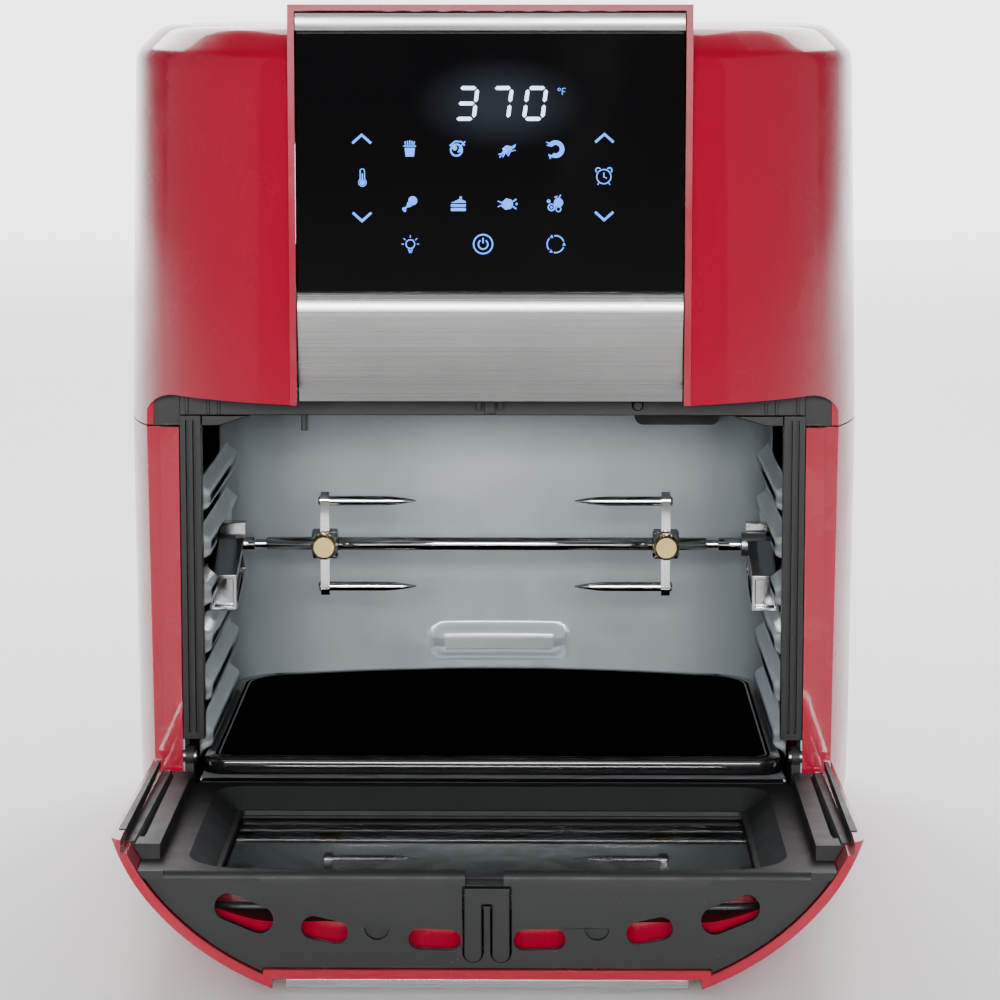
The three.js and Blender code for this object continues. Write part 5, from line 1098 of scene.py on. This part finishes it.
# ---- Rotisserie ----
class AIRFRYER_OT_rotisserie(bpy.types.Operator):
    """Build the spit, its forks and thumb screws, the guides and the drive socket"""

    bl_idname = "airfryer.build_rotisserie"
    bl_label = "Rotisserie"

    def shaft(self):
        neck, radius, soft = 1.9, SPIT_RADIUS, 0.35
        left = (SPIT_LEFT + 9.6, SPIT_LEFT + 15.1)
        right = (SOCKET_FACE - 15.9, SOCKET_FACE - 10.4)
        profile = [(0, SPIT_LEFT), (radius - 1.0, SPIT_LEFT), (radius - 0.3, SPIT_LEFT + 0.4), (radius, SPIT_LEFT + 1.2)]
        for start, end in (left, right):
            profile += [(radius, start - soft), (radius - soft, start), (neck, start + soft), (neck, end - soft), (radius - soft, end), (radius, end + soft)]
        profile += [(radius, SPIT_RIGHT - 1.2), (radius - 0.8, SPIT_RIGHT), (0, SPIT_RIGHT)]
        return turned(profile, "x", (0, SPIT_Y, SPIT_Z), 40)

    def fork(self, side):
        collar_low, reach = sum(span("fork_screw_right", "x")) / 2, 24
        x = collar_low
        collar = turned([(SPIT_RADIUS + 0.3, x - 6), (6.3, x - 6), (7.0, x - 5.3), (7.0, x + 5.3), (6.3, x + 6), (SPIT_RADIUS + 0.3, x + 6), (SPIT_RADIUS + 0.3, x - 6)], "x", (0, 0, 0), 40)
        bar = prism(rounded_outline((-4, 4), (-reach, reach), 3.9), "x", (x - 2.0, x + 2.0))
        bar = cut(bar, rod(SPIT_RADIUS + 0.3, (x - 5, x + 5), "x", (0, 0, 0)))
        tines = [turned([(0, x - 42), (0.35, x - 41.2), (1.2, x - 37), (1.9, x - 32), (2.2, x - 27), (2.2, x + 2.6), (1.7, x + 3.2), (0, x + 3.2)], "x", (0, 0, way * (reach - 4.2)), 24) for way in (-1, 1)]
        body = join(collar, bar, *tines)
        hole = turned([(0, -12), (2.2, -12), (2.2, 0), (0, 0)], "y", (x, 0, 0), 24)
        cut(body, hole)
        return self.placed(body, side)

    def thumb_screw(self, side):
        """A screw with a knurled head: a rim of small flutes."""
        x = sum(span("fork_screw_right", "x")) / 2
        stem = turned([(0, -3.4), (2, -3.4), (2, -8), (5.6, -8), (6, -8.4), (6, -10.8), (4.6, -13), (0, -13)], "y", (x, 0, 0), 48)
        flutes = [rod(0.42, (-11.4, -7.6), "y", (x + 6.1 * math.cos(a), 0, 6.1 * math.sin(a)), 8) for a in (2 * math.pi * i / 16 for i in range(16))]
        return self.placed(cut(stem, *flutes), side)

    def placed(self, made, side):
        turn = Matrix.Rotation(math.pi, 4, "Z") if side < 0 else Matrix.Identity(4)
        home = at(0, 0, 0)
        flip = Matrix.Rotation(math.pi, 4, "X") @ turn if side < 0 else turn
        made.data.transform(Matrix.Translation(at(0, SPIT_Y, SPIT_Z)) @ flip @ Matrix.Translation(-home))
        return made

    def guide(self, side):
        """The plated guide that the spit rolls down into, dished on its front and inner faces."""
        front, back, low, high, notch = 47, 12, 23, 9, SPIT_RADIUS + 0.6
        outline = [(SPIT_Y - front, SPIT_Z - low), (SPIT_Y - front + 14, SPIT_Z - low), (SPIT_Y + back, SPIT_Z - 10), (SPIT_Y + back, SPIT_Z + high), (SPIT_Y + notch, SPIT_Z + high)]
        outline += arc(SPIT_Y, SPIT_Z, notch, 0, -math.pi, 20)
        outline += [(SPIT_Y - notch, SPIT_Z + 3), (SPIT_Y - front, SPIT_Z - 7)]
        inner = span("spit_holder_right", "x")[0]
        form = prism(outline, "x", sided(side, inner, CAVITY_HALF - GAP))
        x0, x1 = sided(side, inner + 1.6, CAVITY_HALF - 1.8)
        dish = block((x0, x1), (SPIT_Y - front - 1, SPIT_Y - front + 4), (SPIT_Z - low + 1.6, SPIT_Z - 9))
        hollow = prism([(SPIT_Y - front + 3, SPIT_Z - low + 2), (SPIT_Y - front + 13, SPIT_Z - low + 2), (SPIT_Y + 2, SPIT_Z - 12), (SPIT_Y - 12, SPIT_Z - 3), (SPIT_Y - front + 3, SPIT_Z - 10)],
                       "x", sided(side, inner - 1, inner + 1.6))
        cut(form, dish, hollow)
        if side > 0:
            cut(form, rod(6.1, (SOCKET_FACE - 5, CAVITY_HALF + 5), "x", (0, SPIT_Y, SPIT_Z)))
        return form

    def execute(self, context):
        sizes = context.scene.air_fryer_sizes
        finish(self.shaft(), "spit_rod", "Chrome", "spit", ("spit_shaft",), clean=False, crease=50)
        for name, side in SIDES:
            finish(self.fork(side), "meat_fork_" + name, "Chrome", "fork_" + name, ("fork_" + name,), sizes.metal_edge, crease=40)
            finish(self.thumb_screw(side), "thumb_screw_" + name, "Brass", "screw_" + name, ("fork_screw_" + name,), 0.0001, crease=40)
            finish(self.guide(side), "spit_guide_" + name, "Dark Chrome", "root", ("spit_holder_" + name,), sizes.metal_edge)
        refined("drive_socket", "socket_sleeve", "Bare Steel", "drive", 0.0003, crease=50)
        return {"FINISHED"}


# ---- Door, drawn shut and opened on its hinge ----
def window_outline(grow):
    return rounded_outline(pair(WINDOW_HALF + grow), (WINDOW_LOW - grow, WINDOW_HIGH + grow), max(12 + grow, 2), max(24 + grow, 4), 12)


def curved_strip(points, low, high):
    """A raised area of the door's top behind a line of (x, y) points, mirrored to the other side."""
    mirrored = [(-x, y) for x, y in points[::-1]]
    return prism(points + mirrored, "z", (low, high))


class AIRFRYER_OT_door(bpy.types.Operator):
    """Build the drop-down door: red shell, black inner panel, panes, latch and trim"""

    bl_idname = "airfryer.build_door"
    bl_label = "Door"

    def shell(self):
        body = common(case_form(DOOR_BOTTOM, DOOR_TOP, 0), doorway(0, DOOR_RIM))
        cut(body,
            block(pair(COLUMN_HALF), (-BOW_DEPTH, COLUMN_FACE), (0, CASE_TOP)),
            block(pair(FLANGE_OUTER + 1), (DOOR_BACK, REBATE_BACK), (0, CASE_TOP)))
        inside = common(case_form(DOOR_BOTTOM + PANEL_SHEET, DOOR_TOP + 2, DOOR_WALL),
                        prism(rounded_outline(pair(DOOR_HALF - DOOR_WALL), (-DOOR_CORNER, DOOR_TOP + 3), 1, DOOR_CORNER, 12), "y", (-BOW_DEPTH, REBATE_BACK)))
        cut(inside, block(pair(COLUMN_HALF + DOOR_WALL), (-BOW_DEPTH, COLUMN_FACE + DOOR_WALL), (0, CASE_TOP)))
        light_low, light_high = span_closed("outer_pane")
        return cut(body, inside,
                   prism(rounded_outline(pair(70), (light_low - GAP, light_high + GAP), 6), "y", (-BOW_DEPTH, COLUMN_FACE + DOOR_WALL + 1)),
                   block(pair(CASE_HALF), (PANEL_FACE - 13, REBATE_BACK), (0, PANEL_BOTTOM + 6)))

    def panel(self):
        """The inner panel: face with a sloped window recess, and the stepped top with its air slots."""
        reach = common(case_form(PANEL_BOTTOM, DOOR_TOP - GAP, PANEL_SKIN),
                       prism(rounded_outline(pair(DOOR_HALF - PANEL_SKIN), (-DOOR_CORNER, DOOR_TOP + 3), 1, DOOR_CORNER, 12), "y", (-BOW_DEPTH, DOOR_BACK)))
        cut(reach, block(pair(COLUMN_HALF + PANEL_SKIN), (-BOW_DEPTH, COLUMN_FACE + DOOR_WALL + GAP), (0, CASE_TOP)))
        body = join(block(pair(CASE_HALF), (PANEL_FACE - PANEL_SHEET, PANEL_FACE), (0, DOOR_TOP - GAP)),
                    block(pair(CASE_HALF), (-BOW_DEPTH, PANEL_FACE - 0.5), (DOOR_TOP - 6, DOOR_TOP - 2.9)),
                    curved_strip(RIDGE_OUTER, DOOR_TOP - 4, DOOR_TOP - 1.5),
                    curved_strip(RIDGE_INNER, DOOR_TOP - 4, DOOR_TOP - GAP))
        for _, side in SIDES:
            join(body, block(sided(side, EAR_INNER, CASE_HALF), (PANEL_FACE - PANEL_SHEET, DOOR_BACK - 0.4), (69, DOOR_TOP - DOOR_CORNER - 4)))
        body = common(body, reach)
        ledge = PANEL_FACE - WINDOW_DEPTH
        join(body, prism(window_outline(0.5), "y", (ledge - 2, PANEL_FACE - PANEL_SHEET + 0.5)))
        slope = [(1.4, 1.0), (0.6, 0.0), (0.0, -0.7), (-8.2, -7.2), (-9.0, -8.0)]
        recess = loft([[(x, PANEL_FACE + y, z) for x, z in window_outline(grow)] for grow, y in slope], "recess")
        cut(body, recess, prism(window_outline(-11), "y", (ledge - 5, ledge + 1)))
        radius = 3.2
        corner = [(PANEL_FACE + 1, DOOR_TOP + 1), (PANEL_FACE + 1, DOOR_TOP - GAP - radius)]
        corner += arc(PANEL_FACE - radius, DOOR_TOP - GAP - radius, radius, 0, math.pi / 2, 8) + [(PANEL_FACE - radius, DOOR_TOP + 1)]
        cut(body, prism(corner, "x", pair(126)))
        for _, side in SIDES:
            groove = prism([(x * side, z) for x, z in ((136.5, 74), (140.5, 74), (140.5, DOOR_TOP - 32), (136.5, DOOR_TOP - 32))], "y", (PANEL_FACE - 1.2, 2))
            toe = block(sided(side, EAR_OUTER, CASE_HALF), (-BOW_DEPTH, REBATE_BACK), (0, HINGE_Z + HINGE_Y + 1))
            cut(body, groove, toe)
        for _, side in SIDES:
            eye = rod(4.5, sided(side, EAR_INNER, EAR_OUTER), "x", (0, HINGE_Y, HINGE_Z))
            arm = block(sided(side, EAR_INNER, EAR_OUTER), (PANEL_FACE - PANEL_SHEET, HINGE_Y), (HINGE_Z - 3.9, HINGE_Z + 3.5))
            root = block(sided(side, EAR_INNER, EAR_OUTER), (PANEL_FACE - PANEL_SHEET, PANEL_FACE + 2), (HINGE_Z, 73))
            join(body, eye, arm, root)
        cut(body, rod(2.8, pair(CASE_HALF), "x", (0, HINGE_Y, HINGE_Z)), *self.top_cuts())
        return body

    def well(self):
        """The dark duct between the two panes."""
        light_low, light_high = span_closed("outer_pane")
        near = rounded_outline(pair(115), (WINDOW_LOW + 4, WINDOW_HIGH - 6), 8, 18, 10)
        far = rounded_outline(pair(72), (light_low - 1, light_high + 1), 8, 8, 10)
        duct = loft([[(x, y, z) for x, z in outline] for y, outline in ((-22.8, near), (-25, near), (-46.2, far))], "duct", caps=False)
        sheet = duct.modifiers.new("Sheet", "SOLIDIFY")
        sheet.thickness = 1.0 * MM
        sheet.offset = 0
        return duct

    def wing_liner(self, side):
        """The black moulding that lines the shell's raised lip beside a wing."""
        low, high = 72, DOOR_TOP - 21
        band = common(case_form(low, high, 1.5),
                      block(sided(side, 125, CASE_HALF), (PANEL_FACE - 1, DOOR_RIM + 0.35), (low, high)))
        return cut(band, case_form(low - 4, high + 4, 4.6), block(pair(FLANGE_OUTER + 0.8), (-0.5, REBATE_BACK + 1), (0, CASE_TOP)))

    def slot_backing(self, side):
        """The red web of the shell that shows through the air slots."""
        low, high = DOOR_TOP - 19.5, DOOR_TOP - 18.3
        return common(case_form(low, high, PANEL_SKIN + 0.3), block(sided(side, 9.6, 112), (-48, -16), (low, high)))

    def top_cuts(self):
        """Air slots, the latch's room and the catch's notch in the door's top."""
        cuts = []
        for _, side in SIDES:
            for x, y, length, width, lean in ((20.5, -35.3, 20.5, 8.5, 0.03), (63.5, -31.7, 18.5, 9.4, 0.22), (95, -25, 24, 11, 0.4)):
                slot = prism(rounded_outline(pair(length / 2), pair(width / 2), width / 2 - 0.05), "z", (DOOR_TOP - 9, DOOR_TOP + 5))
                slot.data.transform(Matrix.Translation(at(x * side, y, 0)) @ Matrix.Rotation(lean * side, 4, "Z") @ Matrix.Translation(-at(0, 0, 0)))
                cuts.append(slot)
            cuts.append(prism([(43 * side + x, -33 + y) for x, y in [(-5, 2.4), (5, 2.4)] + arc(0, 2.4, 5, 0, -math.pi, 10)[1:-1]], "z", (DOOR_TOP - 5.7, DOOR_TOP + 5)))
        cuts.append(prism(self.latch_outline(0.8), "z", (DOOR_TOP - 6, DOOR_TOP + 5)))
        cuts.append(block((-8.5, 6.5), (-13, 5), (CEILING - 1, CASE_TOP)))
        return cuts

    def latch_outline(self, grow):
        fingers = []
        for side, turn in ((1, 0), (-1, math.pi)):
            start = 2.0 - grow if side > 0 else -8.9 - grow
            centre = start + 3.45 + grow
            fingers.append(arc(centre, -40.4, 3.45 + grow, 0, -math.pi, 12))
        right, left = fingers
        top = -14 + grow
        return [(-8.9 - grow, top), (8.9 + grow, top)] + right + [(2.0 - grow, -20.5 - grow), (-2.0 + grow, -20.5 - grow)] + left

    def execute(self, context):
        sizes = context.scene.air_fryer_sizes
        finish(self.shell(), "door_cover", "Red Door Gloss", "door", ("door_shell",), sizes.case_edge, door=True)
        finish(self.panel(), "door_panel", "Black Panel", "door", ("door_inner_panel",), sizes.moulded_edge, door=True)
        finish(self.well(), "window_well", "Black Frame", "door", (), door=True, clean=False)
        for name, side in SIDES:
            finish(self.wing_liner(side), "wing_liner_" + name, "Black Panel", "door", (), 0.0003, door=True)
            finish(self.slot_backing(side), "slot_backing_" + name, "Red Door Gloss", "door", (), 0.0002, door=True)
        latch = prism(self.latch_outline(0), "z", (DOOR_TOP - 4, DOOR_TOP + 0.3), "latch")
        finish(latch, "latch_tab", "Black Panel", "door", ("door_latch",), sizes.moulded_edge, door=True)
        refined("inner_pane", "pane_inside", "Door Pane", "door", 0.0004)
        refined("outer_pane", "pane_outside", "Dark Glass", "door", 0.0005)
        refined("pane_gasket", "pane_seal", "Rubber", "door", 0.0003)
        # Painted light: the door trim takes the stainless made 1.7 times lighter than the console's.
        refined("door_trim", "door_plate", "Door Stainless Painted Light", "door", 0.0005)
        for name, side in SIDES:
            refined("hinge_pin_" + name, "pivot_pin_" + name, "Bare Steel", "door", 0.0003, crease=50)
            refined("hinge_bracket_" + name, "pivot_plate_" + name, "Galvanised Steel", "root", 0.0003)
            hook = join(block(sided(side, 134.2, 135.6), (PANEL_FACE - 0.5, -2.2), (DOOR_TOP - 44, DOOR_TOP - 29)),
                        block(sided(side, 134.2, 139.2), (PANEL_FACE - 0.5, -3.4), (DOOR_TOP - 44, DOOR_TOP - 41)))
            finish(hook, "wing_hook_" + name, "Black Panel", "door", (), 0.0004, door=True)
        return {"FINISHED"}


def span_closed(node):
    """A door node's extent up the shut door, in millimetres."""
    near, far = span(node, "y")
    return HINGE_Z + HINGE_Y - far, HINGE_Z + HINGE_Y - near


RIDGE_OUTER = [(-132, -7.6), (-132, -12), (-117, -11), (-101, -16.6), (-86, -20.8), (-71, -23.9), (-52, -26.8), (-30, -29.0), (-8.5, -30)]
RIDGE_INNER = [(-90, -7.6), (-86, -13.7), (-74, -16.4), (-61, -18.4), (-44, -20.6), (-26, -22.0), (-8.5, -22.8)]


class AIRFRYER_OT_machinery(bpy.types.Operator):
    """Give the hidden heater, fans, motors and boards their finishes"""

    bl_idname = "airfryer.build_machinery"
    bl_label = "Machinery"

    def execute(self, context):
        for node, look in (("heater_shroud", "Galvanised Steel"), ("convection_fan", "Galvanised Steel"), ("fan_motor", "Galvanised Steel"),
                           ("motor_shaft", "Bare Steel"), ("cooling_fan", "Black Moulding"), ("power_board", "Board Lacquer"), ("rotisserie_motor", "Black Moulding")):
            carried(node, look)
        refined("heating_element", "heater_coil", "Element Steel", "root", 0.0002, crease=50)
        return {"FINISHED"}


# ---- Stage ----
class AIRFRYER_OT_stage(bpy.types.Operator):
    """Set the pale floor, the soft lights and the camera"""

    bl_idname = "airfryer.build_stage"
    bl_label = "Stage"

    def panel_light(self, name, place, target, size, power, spread=180):
        data = bpy.data.lights.new(name, "AREA")
        data.shape = "RECTANGLE"
        data.size, data.size_y = size
        data.energy = power
        data.spread = math.radians(spread)
        made = bpy.data.objects.new(name, data)
        bpy.context.scene.collection.objects.link(made)
        made.location = place
        made.rotation_euler = (Vector(target) - Vector(place)).to_track_quat("-Z", "Y").to_euler()

    def sweep(self):
        """A pale floor that curves up far behind the oven."""
        bend, radius, reach = 6.0, 2.5, 12.0
        bm = bmesh.new()
        bmesh.ops.create_grid(bm, x_segments=1, y_segments=96, size=reach)
        for vert in bm.verts:
            turn = min(max((vert.co.y - bend) / radius, 0), math.pi / 2)
            if turn:
                rise = max(vert.co.y - bend - radius * math.pi / 2, 0)
                vert.co.y = bend + radius * math.sin(turn)
                vert.co.z = radius * (1 - math.cos(turn)) + rise
        floor = to_object("studio_floor", bm)
        for polygon in floor.data.polygons:
            polygon.use_smooth = True
        return floor

    def execute(self, context):
        colours = context.scene.air_fryer_colours
        floor = self.sweep()
        look, tree, shader, place = new_look("Studio Floor", Roughness=0.7)
        tone = effect(tree, "Tone Drift", Vector=place, Colour=opaque(colours.floor), Scale=1.5, Drift=0.01, Roughness=0.7, Spread=0.03)
        tree.links.new(tone["Colour"], shader.inputs["Base Color"])
        floor.data.materials.append(look)
        world = bpy.data.worlds.new("Studio")
        world.use_nodes = True
        world.node_tree.nodes["Background"].inputs["Color"].default_value = (1, 1, 1, 1)
        world.node_tree.nodes["Background"].inputs["Strength"].default_value = 0.07
        context.scene.world = world
        self.panel_light("light_top", (0.0, 0.95, 1.75), (0.0, 0.45, 0.0), (1.5, 1.1), 30, 150)
        self.panel_light("light_far", (0.0, 5.6, 3.2), (0.0, 5.2, 0.0), (9.0, 5.0), 1000)
        self.panel_light("light_left", (-1.45, -0.15, 0.62), (0.0, -0.15, 0.55), (1.55, 1.2), 1.6)
        self.panel_light("light_right", (1.45, -0.15, 0.62), (0.0, -0.15, 0.55), (1.55, 1.2), 1.6)
        self.panel_light("light_front", (0.0, -2.5, 0.62), (0.0, 0.0, 0.12), (1.3, 0.3), 8, 60)
        self.panel_light("light_brow", (0.0, -1.2, 1.3), (0.0, 0.0, 0.25), (1.6, 0.5), 4)
        data = bpy.data.cameras.new("camera")
        data.lens = 125.47
        data.sensor_width = 36
        data.clip_end = 50
        camera = bpy.data.objects.new("camera", data)
        context.scene.collection.objects.link(camera)
        camera.location = (0.0203, -1.5384, 0.3834)
        camera.rotation_euler = (math.pi / 2 - 0.1412, 0, 0.0115)
        context.scene.camera = camera
        return {"FINISHED"}


OPERATORS = (
    AIRFRYER_OT_cover, AIRFRYER_OT_sides, AIRFRYER_OT_console, AIRFRYER_OT_symbols, AIRFRYER_OT_front_frame, AIRFRYER_OT_cavity,
    AIRFRYER_OT_tray, AIRFRYER_OT_rotisserie, AIRFRYER_OT_door, AIRFRYER_OT_machinery, AIRFRYER_OT_stage,
)


class AIRFRYER_PT_panel(bpy.types.Panel):
    """Lists the steps that build the oven"""

    bl_idname = "AIRFRYER_PT_panel"
    bl_label = "Air Fryer Oven"
    bl_space_type = "VIEW_3D"
    bl_region_type = "UI"
    bl_category = "Air Fryer"

    def draw(self, context):
        for holder in (context.scene.air_fryer_sizes, context.scene.air_fryer_colours):
            box = self.layout.box()
            for key in holder.__annotations__:
                box.prop(holder, key)
        for step in OPERATORS:
            self.layout.operator(step.bl_idname)


CLASSES = (AirFryerSizes, AirFryerColours, *OPERATORS, AIRFRYER_PT_panel)


def register():
    for one in CLASSES:
        bpy.utils.register_class(one)
    bpy.types.Scene.air_fryer_sizes = PointerProperty(type=AirFryerSizes)
    bpy.types.Scene.air_fryer_colours = PointerProperty(type=AirFryerColours)


def unregister():
    del bpy.types.Scene.air_fryer_colours
    del bpy.types.Scene.air_fryer_sizes
    for one in reversed(CLASSES):
        bpy.utils.unregister_class(one)


def main():
    register()
    for step in OPERATORS:
        family, action = step.bl_idname.split(".")
        getattr(getattr(bpy.ops, family), action)()


if __name__ == "__main__":
    main()
